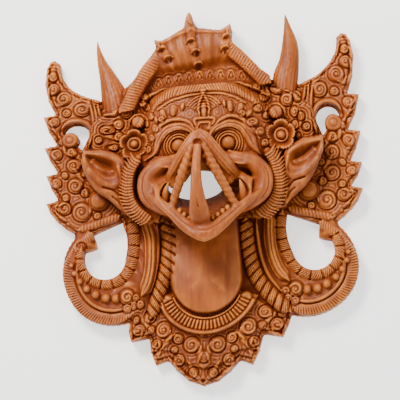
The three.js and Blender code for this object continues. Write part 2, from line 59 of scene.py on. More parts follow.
LEAFY = 6  # scrolls of this radius and more run out into a leaf, mm
LEAF = ((0.9, 0.9), (1.12, 0.3), (1.45, -0.2), (1.9, -0.5), (2.4, -0.65))  # its reach in radii and its turn


def ramp(x, lo, hi):
    t = np.clip((x - lo) / (hi - lo), 0.0, 1.0)
    return t * t * (3.0 - 2.0 * t)


def carved(p):
    """Gives the symmetrical drawing the lean and droop of the hand-carved mask."""
    u, v, z = p[:, 0], p[:, 1], p[:, 2]
    lean = 0.04 + 0.05 * ramp(v, 20, 190) - 0.04 * ramp(-v, 150, 215)
    side = 0.5 + 0.5 * ramp(np.abs(u), 40, 100)
    sway = 8.7 * np.exp(-(((v + 118) / 70) ** 2)) * side
    drift = sway - 0.00018 * np.maximum(v, 0) ** 2
    forward = np.maximum(z - PLATE, 0)
    x = u + drift + 0.07 * forward
    y = (v + lean * u) * 1.012 - 0.158 * forward
    return np.stack([x - CENTRE[0], y - CENTRE[1], z], 1)


def arc(centre, radius, start, end, steps):
    a = np.linspace(start, end, steps + 1)
    return [(centre[0] + radius * np.cos(t), centre[1] + radius * np.sin(t)) for t in a]


def flow(points, per=6):
    """A smooth line through the points, whatever number of values each has."""
    p = np.array(points, float)
    p = np.vstack([2 * p[0] - p[1], p, 2 * p[-1] - p[-2]])
    out = []
    for k in range(1, len(p) - 2):
        a, b, c, d = p[k - 1], p[k], p[k + 1], p[k + 2]
        for t in np.arange(per) / per:
            out.append(0.5 * (2 * b + (c - a) * t + (2 * a - 5 * b + 4 * c - d) * t**2
                              + (3 * b - a - 3 * c + d) * t**3))
    out.append(p[-2])
    return np.array(out)


def polygon_distance(x, y, points):
    """Distance to a closed outline, negative inside."""
    p = np.asarray(points, float)
    best = np.full(x.shape, 1e9)
    inside = np.zeros(x.shape, bool)
    for (ax, ay), (bx, by) in zip(p, np.roll(p, -1, 0)):
        dx, dy = bx - ax, by - ay
        size = dx * dx + dy * dy
        if size < 1e-12:
            continue
        t = np.clip(((x - ax) * dx + (y - ay) * dy) / size, 0, 1)
        best = np.minimum(best, (x - ax - t * dx) ** 2 + (y - ay - t * dy) ** 2)
        if ay != by:
            crossed = (ay > y) != (by > y)
            inside ^= crossed & (x < ax + (y - ay) * dx / dy)
    return np.where(inside, -1, 1) * np.sqrt(best)


class Relief:
    """A map of heights and the strokes that carve it."""

    def __init__(self, x0, y0, x1, y1, height=PLATE):
        self.us = np.arange(round(x0 / FINE), round(x1 / FINE) + 1) * FINE
        self.vs = np.arange(round(y0 / FINE), round(y1 / FINE) + 1) * FINE
        self.u, self.v = np.meshgrid(self.us, self.vs, indexing="ij")
        self.h = np.full(self.u.shape, float(height))

    def window(self, x0, y0, x1, y1):
        i0, i1 = np.searchsorted(self.us, [x0, x1])
        j0, j1 = np.searchsorted(self.vs, [y0, y1])
        return slice(max(i0 - 1, 0), i1 + 1), slice(max(j0 - 1, 0), j1 + 1)

    def near(self, path, reach):
        """Distance to the path, length along it and the signed side, for the points near it."""
        w = self.window(path[:, 0].min() - reach, path[:, 1].min() - reach, path[:, 0].max() + reach,
                        path[:, 1].max() + reach)
        x, y = self.u[w], self.v[w]
        best, length, side = np.full(x.shape, 1e9), np.zeros(x.shape), np.zeros(x.shape)
        run = 0.0
        for (ax, ay), (bx, by) in zip(path[:-1, :2], path[1:, :2]):
            dx, dy = bx - ax, by - ay
            size = math.hypot(dx, dy)
            if size < 1e-9:
                continue
            t = np.clip(((x - ax) * dx + (y - ay) * dy) / size**2, 0.0, 1.0)
            ex, ey = x - ax - t * dx, y - ay - t * dy
            d = np.hypot(ex, ey)
            new = d < best
            best = np.where(new, d, best)
            length = np.where(new, run + t * size, length)
            side = np.where(new, np.sign(dx * ey - dy * ex) * d, side)
            run += size
        return w, best, length, side, run

    def ridge(self, points, width, height, ribs=0.0, slant=0.0, depth=0.5, lines=0, base=None,
              taper=0.25, flat=1.0):
        """A rounded band; ribs is the pitch of the cuts across it, lines the cuts along it."""
        w, d, s, side, total = self.near(flow(points), width + 1)
        t = s / max(total, 1e-6)
        wide = width * (1.0 if taper <= 0 else ramp(np.minimum(t, 1 - t), -taper * 0.35, taper))
        wide = np.maximum(wide, 0.2)
        r = d / wide
        body = np.minimum(np.sqrt(np.clip(1 - r**2, 0, 1)) * flat, 1.0)
        if ribs:
            wave = np.abs(np.sin(np.pi * (s + slant * side) / ribs)) ** 0.6
            body = body * (1 - depth + depth * wave)
        if lines:
            wave = np.abs(np.cos(np.pi * lines * (side / wide + 1) / 2)) ** 0.7
            body = body - 0.35 * (1 - wave) * (r < 1)
        under = self.h[w]
        top = (under if base is None else base) + height * body
        if base is not None:
            top = np.maximum(top, under)
        self.h[w] = np.where(r < 1, top, under)

    def groove(self, points, width, depth, taper=0.2):
        """A rounded cut that runs out at both ends."""
        w, d, s, _, total = self.near(flow(points), width + 1)
        t = s / max(total, 1e-6)
        wide = np.maximum(width * ramp(np.minimum(t, 1 - t), -0.1, taper), 0.2)
        self.h[w] = self.h[w] - depth * np.clip(1 - (d / wide) ** 2, 0, 1)

    def disc(self, x, y, radius, height, ring=0.0, dip=0.0, base=None, stretch=1.0, turn=0.0):
        """A rounded boss; ring is where a cut of depth dip runs round it, as a share of its radius."""
        reach = radius * max(stretch, 1.0) + 1
        w = self.window(x - reach, y - reach, x + reach, y + reach)
        dx, dy = self.u[w] - x, self.v[w] - y
        c, s = math.cos(turn), math.sin(turn)
        r = np.hypot(dx * c + dy * s, (dy * c - dx * s) / stretch) / radius
        rise = height * np.sqrt(np.clip(1 - r**2, 0, 1))
        if ring:
            rise = rise - dip * np.exp(-(((r - ring) * radius / 1.3) ** 2))
        under = self.h[w]
        top = under + rise if base is None else np.maximum(base + rise, under)
        self.h[w] = np.where(r < 1, top, under)

    def volute(self, x, y, radius, angle=0.5, hand=1, height=5.2, turns=1.2, base=None, ditch=1.6):
        """A spiral with a rounded band and a bead in its middle, cut free by a ditch."""
        w = self.window(x - radius - 3, y - radius - 3, x + radius + 3, y + radius + 3)
        dx, dy = self.u[w] - x, self.v[w] - y
        rho = np.hypot(dx, dy)
        theta = hand * (np.arctan2(dy, dx) - angle)
        r = rho / radius
        eye = 0.3
        phase = (1 - r) / (1 - eye) * turns + theta / (2 * np.pi)
        wave = np.sqrt(np.clip(1 - (2 * (phase - np.floor(phase)) - 1) ** 2, 0, 1))
        rise = height * (0.1 + 0.9 * wave) * ramp(1 - r, -0.04, 0.2) * (0.72 + 0.4 * (1 - r))
        bead = height * 1.1 * np.sqrt(np.clip(1 - (r / eye) ** 2, 0, 1))
        rise = np.where(r < eye, bead, rise)
        under = self.h[w]
        cut = ditch * np.exp(-(((rho - radius - 0.7) / 1.3) ** 2))
        self.h[w] = np.where(r < 1, (under if base is None else base) + rise, under - cut)

    def volutes(self, rows, **options):
        """Scrolls; the larger ones run out into a leaf."""
        for x, y, radius, angle, hand in rows:
            if radius >= LEAFY:
                leaf = [(radius * far, angle - hand * turn) for far, turn in LEAF]
                leaf = [(x + far * math.cos(a), y + far * math.sin(a)) for far, a in leaf]
                self.ridge(leaf, radius * 0.38, 3.8, taper=0.5)
        for row in rows:
            self.volute(*row, **options)

    def weave(self, rows, mask, pitch=4.3, height=2.4):
        """Concentric cuts round each scroll, which meet the cuts of the next one half way."""
        best = np.full(self.u.shape, 1e9)
        for x, y, radius, *_ in rows:
            best = np.minimum(best, np.hypot(self.u - x, self.v - y) - radius)
        wave = np.abs(np.sin(np.pi * best / pitch)) ** 0.55
        self.h = np.where(mask & (best > 0), self.h + height * (wave - 0.6), self.h)

    def level(self, mask, height):
        self.h = np.where(mask, height, self.h)


def sample(grid, xs, ys, x, y):
    """Values of a map between its points."""
    fx = np.clip((x - xs[0]) / (xs[1] - xs[0]), 0, len(xs) - 1.001)
    fy = np.clip((y - ys[0]) / (ys[1] - ys[0]), 0, len(ys) - 1.001)
    i, j = fx.astype(int), fy.astype(int)
    a, b = fx - i, fy - j
    return ((grid[i, j] * (1 - a) + grid[i + 1, j] * a) * (1 - b)
            + (grid[i, j + 1] * (1 - a) + grid[i + 1, j + 1] * a) * b)


# Outlines, right half, drawn symmetrically about x = 0 (mm)
LOOP, LOOP_RADIUS = (121.0, -88.0), 63.5
LOOP_HOLE, LOOP_HOLE_RADIUS = (131.0, -70.0), 26.0
WING_HOLE, WING_HOLE_RADIUS = (156.5, 89.5), 14.8
CURL, CURL_RADIUS = (162.5, 82.5), 9.6
COLLAR_EDGE = [(0, -231), (18, -225), (33, -213), (44.4, -200), (60, -205.5), (67, -189), (70.6, -170.5),
               (93.8, -174.5), (99, -161)]
WING_TIPS = [(164, -37), (174, -30), (184, -21), (192, -11), (197.8, 2.2), (182.2, 5.6), (191, 20),
             (197, 37.2), (181.6, 39.7), (190, 56), (196, 74.4), (179.4, 76.9), (190, 96), (196, 117.2),
             (180.6, 118.8), (189, 138), (192, 160), (189, 179), (184, 187), (178, 189), (172, 184),
             (170, 167), (161, 153), (146, 141), (123, 131), (92, 140)]
LOOP_GAP = ([(102.5, -24), (99.7, -42), (101, -58)] + arc(LOOP_HOLE, LOOP_HOLE_RADIUS, -2.85, 0.4, 20)
            + [(147, -58.5), (139, -55.6), (141.5, -38.8), (122, -31.5)])
WING_GAP = ([(150, 67.5)] + arc(WING_HOLE, WING_HOLE_RADIUS, -2.9, -6.1, 16)
            + arc(CURL, CURL_RADIUS, 0.9, 3.9, 12))


def scalloped(points, pitch, depth):
    """The outline with small bites along its longer sides, as a gouge leaves them."""
    out = []
    for (ax, ay), (bx, by) in zip(points[:-1], points[1:]):
        size = math.hypot(bx - ax, by - ay)
        n = max(int(size / pitch), 1)
        for k in range(n):
            for q in (0.0, 0.5):
                t = (k + q) / n
                bite = depth if q == 0.0 and k else 0
                x, y = ax + (bx - ax) * t, ay + (by - ay) * t
                out.append((x - (by - ay) / size * bite, y + (bx - ax) / size * bite))
    return out + [points[-1]]


def rolled(edge, rise, cut):
    """A raised rim along the outline with a cut inside it."""
    return rise * np.exp(-(((edge + 2.0) / 1.2) ** 2)) - cut * np.exp(-(((edge + 4.4) / 1.0) ** 2))


def wings_and_collar():
    """The low relief of the plate, for the right half."""
    f = Relief(-12, LOW, WIDE, HIGH)
    u, v = f.u, f.v
    sides = (COLLAR_EDGE, 3.4), (arc(LOOP, LOOP_RADIUS + 0.3, -1.88, 0.8, 24), 3.2), (WING_TIPS, 3.4)
    right = sum((scalloped(line, pitch, 0.8) for line, pitch in sides), [])
    edge = polygon_distance(u, v, [(-60, -231)] + right + [(-60, 140)])
    edge = np.maximum(edge, -np.minimum(polygon_distance(u, v, LOOP_GAP), polygon_distance(u, v, WING_GAP)))
    f.h = PLATE - 5 + 6 * ramp(-edge, 0, 8)

    # the lower loop: fluted rim, a line inside it, a row of graded beads and a bud of scrolls
    rho = np.hypot(u - LOOP[0], v - LOOP[1])
    f.h += 3 * ramp(-v, 22, 40) * ramp(u, 66, 74) * ramp(LOOP_RADIUS - rho, 0, 12)
    f.ridge(arc(LOOP, LOOP_RADIUS - 6.6, -2.05, 0.62, 20), 7.4, 6, ribs=3.2, slant=0.25, depth=0.6,
            base=PLATE - 1, flat=1.2)
    f.groove(arc(LOOP, LOOP_RADIUS - 14.8, -2.1, 0.55, 20), 1.4, 2.2)
    f.ridge(arc(LOOP, LOOP_RADIUS - 18, -2.1, 0.5, 20), 2.4, 3.6, base=PLATE + 3.5)
    for x, y, r in [(119, -119, 6), (131.5, -118, 6), (144, -113.5, 5.6), (155, -106, 5.0),
                    (163.5, -96.5, 4.4), (169.5, -86, 3.8), (172.5, -76, 3.2)]:
        f.disc(x, y, r, r + 2.5, base=PLATE + 3)
    f.volute(105, -118, 9.5, 1.4, height=6, base=PLATE + 4)
    for x, y, r in [(93, -120, 5.7), (96, -129, 5.7), (105, -132, 5.5), (86, -128, 5.5)]:
        f.volute(x, y, r, height=4, turns=1.0, base=PLATE + 3)

    # the collar: two tiers of scrolls with flame tips
    tier = polygon_distance(u, v, [(-60, -211), (0, -211), (26, -203), (38, -189), (56, -187), (62, -167),
                                   (78, -163), (84, -146), (62, -128), (-60, -128)])
    f.h += 4 * ramp(-tier, -1, 2.5) * (v < -120)
    scrolls = [(52, -161, 10, -2.2, 1), (71, -144, 8, -1.2, -1), (85, -160, 8, -1.6, 1),
               (16, -181, 10, -2.6, 1), (33, -173, 6.5, 0.5, -1), (31, -200, 7.5, -1.4, -1),
               (68, -160, 5, 1.0, -1), (60, -179, 6.5, -1.2, 1), (12, -215, 6, -1.0, 1),
               (90, -147, 5, 0.0, -1), (37, -187, 4.5, 0.6, 1)]
    on_collar = (v < -132) & (u < 104) & (np.hypot(u, v + 104) > 65)
    f.weave(scrolls + [(0, -196, 4), (0, -170, 3)], on_collar)
    f.h += np.where(on_collar, rolled(edge, 1.6, 2), 0)
    for line in [[(60, -176), (67, -190), (61, -204)], [(84, -160), (94, -163), (94, -174)],
                 [(44, -196), (34, -208), (18, -223)], [(20, -200), (12, -214), (1, -229)],
                 [(54, -188), (60, -196), (61, -204)], [(70, -162), (82, -170), (93, -174)]]:
        f.ridge(line, 3.4, 4, taper=0.4)
    f.volutes(scrolls)
    f.disc(0, -196, 6.5, 5)
    f.disc(4, -168, 3.4, 4)

    # the wing: rows of scrolls, each outer one running out into a flame tip
    scrolls = [(182, 108, 7, 0.6, 1), (180.5, 63.5, 7.5, 0.6, 1), (183.5, 26, 6.5, 0.6, 1),
               (174, -5.5, 8.5, 0.4, 1), (160, 47.5, 9, 2.2, -1), (160, 22, 9.5, 2.2, -1),
               (152.5, -11, 12, 2.4, -1), (161, 65, 6.5, 0.2, 1), (169, 139, 9.5, -0.6, 1),
               (148, 122, 9.5, 2.0, -1), (181, 152.5, 7.5, -0.4, 1), (181, 168, 6, -0.4, -1),
               (147, 36, 4.6, 1.0, 1), (148, 13, 5.5, 1.0, -1), (133, -17, 5, 1.0, 1),
               (172, 8, 4.6, 0.5, -1), (172, 36, 4.6, 0.5, -1), (184, 86, 5, 0.5, 1),
               (131, 133, 6.5, 1.5, -1), (166, 119, 5.5, 0.5, -1), (173, 80, 4.5, 0.5, 1)]
    on_wing = (u > 92) & (v > -36) & ((v > -28) | (u < 172))
    f.weave(scrolls + [(130, 2, 14), (*WING_HOLE, WING_HOLE_RADIUS + 7)], on_wing)
    f.h += np.where(on_wing, rolled(edge, 1.8, 2.2), 0)
    for line in [[(172, -20), (186, -12), (197, 2)], [(178, -28), (188, -16), (195, -4)],
                 [(178, 18), (188, 26), (196, 37)], [(177, 52), (187, 62), (195, 74)],
                 [(180, 94), (188, 104), (195, 117)], [(171, 160), (174, 176), (180, 186)],
                 [(187, 142), (189, 160), (186, 182)], [(186, -2), (176, 2), (168, 6)]]:
        f.ridge(line, 3.4, 3.6, taper=0.4)
    f.volutes(scrolls)
    f.ridge([(104, -18), (130, -25.5), (158, -33)], 5, 4.5, ribs=4.4, slant=0.4, base=PLATE + 1, taper=0.1)
    f.ridge([(141, -37), (149, -44), (158, -51), (166, -60)], 6.5, 5, ribs=3.4, slant=0.5, base=PLATE + 1,
            taper=0.1)
    f.disc(130.7, 2.9, 12.8, 11, ring=0.84, dip=2.8, base=PLATE + 3)
    f.ridge(arc(WING_HOLE, WING_HOLE_RADIUS + 3.4, 0.4, 3.9, 18), 3.4, 5.5, base=PLATE + 1)
    f.level(np.hypot(u - CURL[0], v - CURL[1]) < CURL_RADIUS + 1.5, PLATE - 1)
    f.disc(CURL[0] + 0.6, CURL[1] - 0.4, CURL_RADIUS + 0.4, 5, ring=0.5, dip=1.6, base=PLATE + 1)
    for shift in (0, 4.6, 9.2):
        f.ridge([(139 - shift, 128), (136 - shift, 108), (137 - shift, 88), (143 - shift, 70)], 2.4, 5,
                base=PLATE + 3)
    return f, edge


def throat_and_head(f):
    """The throat with its necklace, and the round of the head, for the right half."""
    u, v = f.u, f.v
    shield = [(-60, -20), (43, -20)] + arc((0, -98), 45.5, 0, -np.pi / 2, 16) + [(-60, -143.5)]
    inside = -polygon_distance(u, v, shield)
    swell = 14 + 5 * ramp(-v, 40, 120) + 2.5 * (1 - (np.clip(u, 0, 44) / 44) ** 2)
    rn, an = np.hypot(u, v + 104), np.arctan2(v + 104, u)
    f.level((rn > 40) & (rn < 65) & (inside < 0) & (an < -0.3), PLATE + 8)
    for radius, width, top in [(44.4, 1.6, 14.5), (61.8, 2.8, 15)]:
        f.ridge(arc((0, -104), radius, -1.8, -0.42, 24), width, 6, base=PLATE + top - 6, taper=0.0)
    f.ridge(arc((0, -104), 52.6, -1.75, -0.4, 24), 7.2, 9, ribs=4.6, depth=0.6, base=PLATE + 6, taper=0.0,
            flat=1.3)
    f.level(inside > 0, PLATE + swell * np.sqrt(np.clip(1 - (1 - ramp(inside, -1, 6)) ** 2, 0, 1)))
    bank = [(-60, -32), (60, -32), (104, -18), (126, 30), (140, 66), (138, 104), (112, 124), (70, 138),
            (0, 144), (-60, 144)]
    on_bank = -polygon_distance(u, v, bank)
    f.h = np.maximum(f.h, PLATE - 4 + 14.8 * ramp(on_bank, -0.5, 4))
    r = np.hypot(u / 86, (v - 58) / 94)
    f.h = np.maximum(f.h, np.interp(r, [0, 0.45, 0.78, 0.93, 1.0, 1.06, 1.07],
                                    [74, 72.4, 65.4, 53.5, 38, 28, 0]))

    # temples: scrolls in rows round the flower and the gem
    scrolls = [(102, 113, 8, 1.2, 1), (112, 98, 6.5, 0, -1), (74, 118, 6, 0.4, 1), (92, 127, 7, 1, 1),
               (118, 116, 7, 0, 1), (112, 82, 6, 0, 1), (122, 92, 5.5, 0, -1), (66, 104, 5, 0, 1),
               (106, 127, 5, 0, 1), (117, 68, 4.5, 0, 1), (75, 95, 4.5, 0, 1), (70, 131, 5, 0, 1),
               (129, 79, 5, 0, 1)]
    f.weave(scrolls + [(87, 98.5, 8), (92.5, 71, 17)], (u > 60) & (v > 58) & (r > 0.86) & (on_bank > 0),
            height=3.4)
    f.volutes(scrolls, height=6, ditch=2.4)
    f.weave([(17, 103, 0), (35, 109, 4), (48, 105, 4), (0, 106, 5)], (u < 62) & (v > 96) & (v < 124)
            & (r < 0.9), pitch=3.1, height=1.9)
    f.ridge([(78, 66), (88, 54), (99, 52)], 8, 8, base=42, lines=3)
    f.ridge([(84, 56), (94, 44), (96, 30)], 6, 7, base=40, lines=2)
    f.disc(87, 98.5, 8.2, 9, base=46)
    f.ridge(arc((87, 97), 12, -0.3, 3.4, 10), 2.2, 5)

    # brow, cheek and crown lines over the forehead
    f.ridge([(-9, 137), (18, 136), (40, 131), (58, 122), (74, 107), (82, 92)], 7, 7, ribs=3.6, slant=0.6,
            depth=0.6, taper=0)
    f.ridge([(-9, 147), (20, 146), (46, 140), (66, 130), (80, 120)], 2.6, 7, taper=0)
    f.ridge([(-9, 127.5), (16, 126.5), (38, 121.5), (54, 112)], 1.6, 3.4, taper=0)
    for x, y, r, turn in [(35, 109, 3.9, 0.1), (47.5, 105, 3.9, -0.25), (26, 113, 2.6, 0.2),
                          (57, 99, 2.6, -0.5)]:
        f.disc(x, y, r, 6, stretch=2.0, turn=turn)
    # the pendant on the forehead: a pointed leaf on a stepped bracket, under nested arches
    for k in range(5):
        f.ridge(arc((0, 101), 10.5 + 3.3 * k, 0.5, np.pi / 2 + 0.1, 8), 1.3, 2.6, taper=0.1)
    f.ridge([(0, 127), (5, 117), (6.5, 108), (5.5, 99)], 1.7, 5, taper=0.15)
    f.disc(0, 107, 4, 6, stretch=2.2)
    f.ridge([(-2, 97), (9, 96.5), (12.5, 94), (9.5, 87)], 2.0, 3, taper=0.1)
    f.ridge([(-2, 91.5), (6, 91), (7, 87)], 1.8, 2.4, taper=0.1)
    f.disc(8, 84, 3.4, 4)
    f.disc(0, 130, 3.6, 6)
    # eye rings and the ball with its iris
    ex, ey = 31.4, 64.4
    rho = np.hypot(u - ex, v - ey)
    level = 66 + 8 * ramp(v, 40, 95)
    f.level(rho < 21, level + 1.5 * np.cos((rho - 11) * np.pi / 1.65) * ramp(-rho, -21, -19)
            + 2 * ramp(-rho, -18, -8))
    f.level(rho < 9.2, level - 1)
    f.level(rho < 8, level + 2 + 7 * np.sqrt(np.clip(1 - (rho / 8) ** 2, 0, 1)))
    f.ridge([(7, 68), (13, 80.5), (31, 88.5), (48, 83), (56.5, 71), (61, 58), (71, 49)], 5.4, 7, taper=0.3)
    f.groove([(11, 76), (19, 84.5), (32, 89.5), (47, 85), (56, 73), (60, 61)], 1.2, 2.2)
    f.ridge([(11, 84), (20, 93.5), (34, 97.5), (49, 93), (58.5, 81), (66, 67)], 2.8, 5)
    for x, y, r in [(60, 88, 5.4), (67.5, 76, 5.4), (73, 62, 5), (50, 99, 4)]:
        f.volute(x, y, r, 0, 1, height=6, turns=0.9)
    f.volute(11.5, 66, 4, 0, 1, height=5, turns=0.7)
    for drop in (0, 5, 10):
        f.ridge([(14, 50 - drop), (30, 43.5 - drop), (48, 46 - drop), (62, 54 - drop)], 2.3, 3.2)

    # flower: five cupped petals round a cone
    dx, dy = u - 92.5, v - 71
    rho, phi = np.hypot(dx, dy), np.arctan2(dx, dy)
    lobe = np.abs(np.cos(2.5 * phi))
    reach = 15.6 + 3.9 * lobe**0.6 + 0.5 * np.cos(phi * 35)
    t = rho / reach
    cup = 45.5 + 13.5 * ramp(t, 0.35, 0.95) - 3 * ramp(t, 0.9, 1.0)
    cup = cup - 3 * np.exp(-((lobe / 0.2) ** 2)) + 0.8 * np.cos(phi * 35) * ramp(t, 0.55, 0.85)
    f.level(t < 1, cup)
    f.level(rho < 9.6, 49.5 + 3 * np.sin(np.clip((rho - 5.6) / 4, 0, 1) * np.pi) - 2 * (rho < 5.6))
    f.level(rho < 5.4, 50 + 9 * np.sqrt(np.clip(1 - (rho / 5.4) ** 2, 0, 1)))


def mirrored_full(half, half_edge):
    """Both halves of a map that was carved for the right half."""
    full = Relief(-WIDE, LOW, WIDE, HIGH)
    zero = int(round(-half.us[0] / FINE))
    right = half.h[zero:]
    both = np.concatenate([right[:0:-1], right])
    # the two sides differ by a few millimetres, as carving by eye leaves them
    u, v = full.u, full.v
    temple = ramp(np.abs(u), 52, 72) * ramp(-np.abs(u), -126, -108) * ramp(v, 48, 62) * ramp(-v, -132, -116)
    shift = np.where(u < 0, 8.4, 4.6) * temple
    shift = shift + 2.6 * ramp(-np.abs(u), -34, -26) * ramp(v, 84, 90)
    shift = shift + 1.6 * ramp(-u, 2, 10) * ramp(u, -62, -52) * ramp(v, 30, 42) * ramp(-v, -90, -84)
    shift = shift - 3.2 * ramp(-u, 138, 165) * ramp(v, 20, 80)
    shift = shift + 2.6 * ramp(-u, 84, 98) * ramp(-v, 28, 50) * ramp(v, -165, -150)
    shift = shift + 1.2 * ramp(u, 160, 180) * ramp(v, -10, 40)
    rise = 2.4 * ramp(-u, 150, 165) * ramp(v, 150, 180)
    rise = rise - 3.2 * ramp(u, 165, 182) * ramp(v, 5, 30) * ramp(-v, -150, -120)
    full.h = sample(both, full.us, full.vs, u - shift, v - rise)
    edges = np.concatenate([half_edge[zero:][:0:-1], half_edge[zero:]])
    return full, sample(edges, full.us, full.vs, u - shift, v - rise)


# for each side: the rope beside the throat, the long leaf, the ribs round the loop's hole, and half
# the width of the leaf and of the rope
BANDS = {
    1: ([(52, -27), (52.3, -50), (55, -80), (62, -103), (75, -123), (88, -136), (100, -145)],
        [(82, -22), (79.5, -50), (80.5, -72), (86, -92), (97, -107)],
        [(97, -20), (93.7, -42), (95, -60), (100.4, -79), (112, -95.5), (131, -102), (150, -95), (161, -80),
         (162, -64), (157, -51)], 7.6, 8.8),
    -1: ([(46, -27), (45, -50), (46, -68), (49, -85), (53.5, -100), (59, -114), (65, -129), (70, -145)],
         [(73, -22), (67, -45), (67.5, -67), (70.5, -87), (76, -104), (84, -117)],
         [(92.5, -20), (88.5, -40), (90, -62), (96, -80), (107, -94), (124, -101.5), (141, -98.5),
          (154, -87), (158, -70), (155, -55)], 9.6, 9.4),
}


def bands(f):
    """The bands that run down beside the throat, each side with its own lines."""

    def segments(line, reach, pitch, first, depth, width, slant=0.0):
        w, d, length, across, _ = f.near(flow(line), 10)
        place = (length + slant * across) % pitch
        f.h[w] -= depth * np.exp(-(((place - first) / width) ** 2)) * (d < reach)

    for side, (rope, leaf, ribs, wide, thick) in BANDS.items():
        rope, leaf, ribs = ([(side * x, y) for x, y in line] for line in (rope, leaf, ribs))
        f.ridge([(x + side * 13, y * 0.97 - 1) for x, y in rope[:5]], 2.4, 4, base=PLATE + 4)
        f.ridge(leaf, wide, 11, lines=3, base=PLATE + 3, taper=0.12)
        f.ridge(leaf, wide * 0.34, 1.6, taper=0.2)
        f.ridge(ribs, 7.4, 8, ribs=2.9, slant=-0.6 * side, depth=0.5, base=PLATE + 1, taper=0.08)
        segments(ribs, 7.4, 14.5, 7.2, 3.4, 1.1)
        f.ridge(rope, thick, 14, ribs=3.0, slant=0.8 * side, depth=0.36, base=PLATE + 3, taper=0.08)
        segments(rope, thick, 10.5, 5, 5, 1.5, 0.5 * side)


EARS = {
    1: [(147.5, 68.5), (134, 66.5), (121, 65), (104, 55), (98, 42), (96, 20), (96, 0), (100, -14),
        (110, -6), (124, 6), (135, 20), (144, 38), (149.5, 55)],
    -1: [(149, 67.5), (136, 66), (121, 65), (103, 58), (93, 46), (92, 20), (90, -6), (88, -22), (99, -15),
         (117, 2), (134, 15), (146, 34), (150.5, 50)],
}
EAR_HOLLOW = [(107, 40), (110, 50), (126, 57.5), (143, 61.5), (145, 57), (139, 46), (131, 40), (121, 32),
              (110, 32)]
# each fold: its line, half its width and how far it stands out
EAR_FOLDS = [([(136, 52), (124, 42), (114, 38)], 4.0, 5.0),
             ([(140, 40), (126, 26), (112, 20), (103, 24)], 4.5, 2.6),
             ([(124, 19), (112, 15), (104, 8)], 1.8, -2.6), ([(112, 6), (105, 0), (102, -6)], 1.6, -2.2),
             ([(104, 44), (101, 28), (101, 10)], 3.0, 3.0)]


def ears(f):
    """Each ear is a long leaf with a rolled rim, a deep hollow under it and folds down to the lobe."""
    for side, outline in EARS.items():
        u, v = side * f.u, f.v
        w = (np.abs(u - 120) < 40) & (np.abs(v - 22) < 52)
        x, y = u[w], v[w]
        d = -polygon_distance(x, y, flow(outline + outline[:1], 4))
        h = 50 + 9 * ramp(y, -10, 62) - 4 * ramp(-d, -5.0, 0)
        hollow = -polygon_distance(x, y, flow(EAR_HOLLOW + EAR_HOLLOW[:1], 4))
        h = h - 13 * ramp(hollow, -2.5, 9)
        for line, wide, lift in EAR_FOLDS:
            path = flow(line)
            best = np.full(x.shape, 1e9)
            for (ax, ay), (bx, by) in zip(path[:-1], path[1:]):
                dx, dy = bx - ax, by - ay
                t = np.clip(((x - ax) * dx + (y - ay) * dy) / (dx * dx + dy * dy), 0, 1)
                best = np.minimum(best, np.hypot(x - ax - t * dx, y - ay - t * dy))
            h = h + lift * np.clip(1 - (best / wide) ** 2, 0, 1) * ramp(d, 1, 5)
        old = f.h[w]
        f.h[w] = np.where(d > 0, np.maximum(h, old), old)


CREST_RIGHT = [(87, 124), (87, 134), (76, 145.5), (66, 160), (56, 174), (48.5, 183), (47.4, 191.3),
               (50.4, 201), (49.4, 208.7), (35.5, 202.8), (17.5, 208.6), (8, 211.5), (5, 220), (4.4, 229)]
CREST_LEFT = [(-1.5, 232), (-5.4, 224.5), (-9, 215), (-20, 211.3), (-33.4, 206.4), (-41, 205),
              (-48.1, 209.4), (-46.8, 202), (-48.2, 195.4), (-56, 188), (-71, 175.5), (-80, 164),
              (-90, 158), (-102, 150), (-106, 124)]
CREST_SIDES = [[(90, 116), (81, 128), (71, 142), (59, 158), (48, 172), (43, 183)],
               [(-102, 118), (-92, 132), (-82, 147), (-69, 163), (-55, 177), (-46, 187)]]
# each spike: its line from the tip down and the ledges under it
SPIKES = [([(2, 233), (1, 216), (-2, 200), (-1, 178)], [(-3.6, 198), (0.0, 183), (0.6, 167)]),
          ([(49.5, 208), (43, 196), (37, 184), (34, 172)], [(42, 194), (37, 179.5)]),
          ([(-47.5, 209), (-42, 197), (-37, 186), (-34, 176)], [(-40, 195), (-34, 182)])]
TILT = math.radians(6.3)
FOOT = 144.0


def crest():
    """The fan over the forehead, drawn upright: ribbed sides, a scooped middle and three spikes."""
    f = Relief(-108, 116, 108, 242, 44)
    u, v = f.u, f.v
    edge = polygon_distance(u, v, CREST_RIGHT + [(2, 233.5)] + CREST_LEFT)
    x = u + 3
    fan = np.arctan2(x, v - 60)
    # a barrel of vertical fibres over a dark valley, with the top of the head in front of it
    barrel = 37 + 7 * ramp(v, 160, 186) - 2 * ramp(v, 188, 206)
    f.h = barrel + (0.6 * np.cos(fan * 74) + 0.4 * np.cos(fan * 31 + 1)) * ramp(v, 158, 170)
    f.h = f.h - 9 * ramp(-v, -172, -156)
    f.h = f.h - 3 * ramp(edge, -4, 0)
    for line, ledges in SPIKES:
        f.ridge(line, 6.0, 3.4, taper=0.25)
        f.ridge(line[:2], 4.6, 4, taper=0.6)
        for x0, y0 in ledges:
            f.h -= 5.5 * np.exp(-(((u - x0) / 4.4) ** 2) - ((v - y0 + 4) / 4.0) ** 2)
            f.ridge([(x0 - 6.0, y0 - 3.5), (x0 - 3, y0), (x0 + 3, y0 + 0.6), (x0 + 6.4, y0 - 2.5)], 2.0, 4,
                    taper=0.4)
    for line in CREST_SIDES:
        f.ridge(line, 9.6, 7, ribs=3.7, slant=0.2, depth=0.42, base=37.5, taper=0.02)
    top = [(48, 202), (35, 200), (18, 204), (6, 207), (0, 212), (-7, 209), (-20, 207), (-34, 202.5),
           (-46, 203)]
    f.ridge(top, 2.0, 1.6, taper=0.05)
    return f, edge


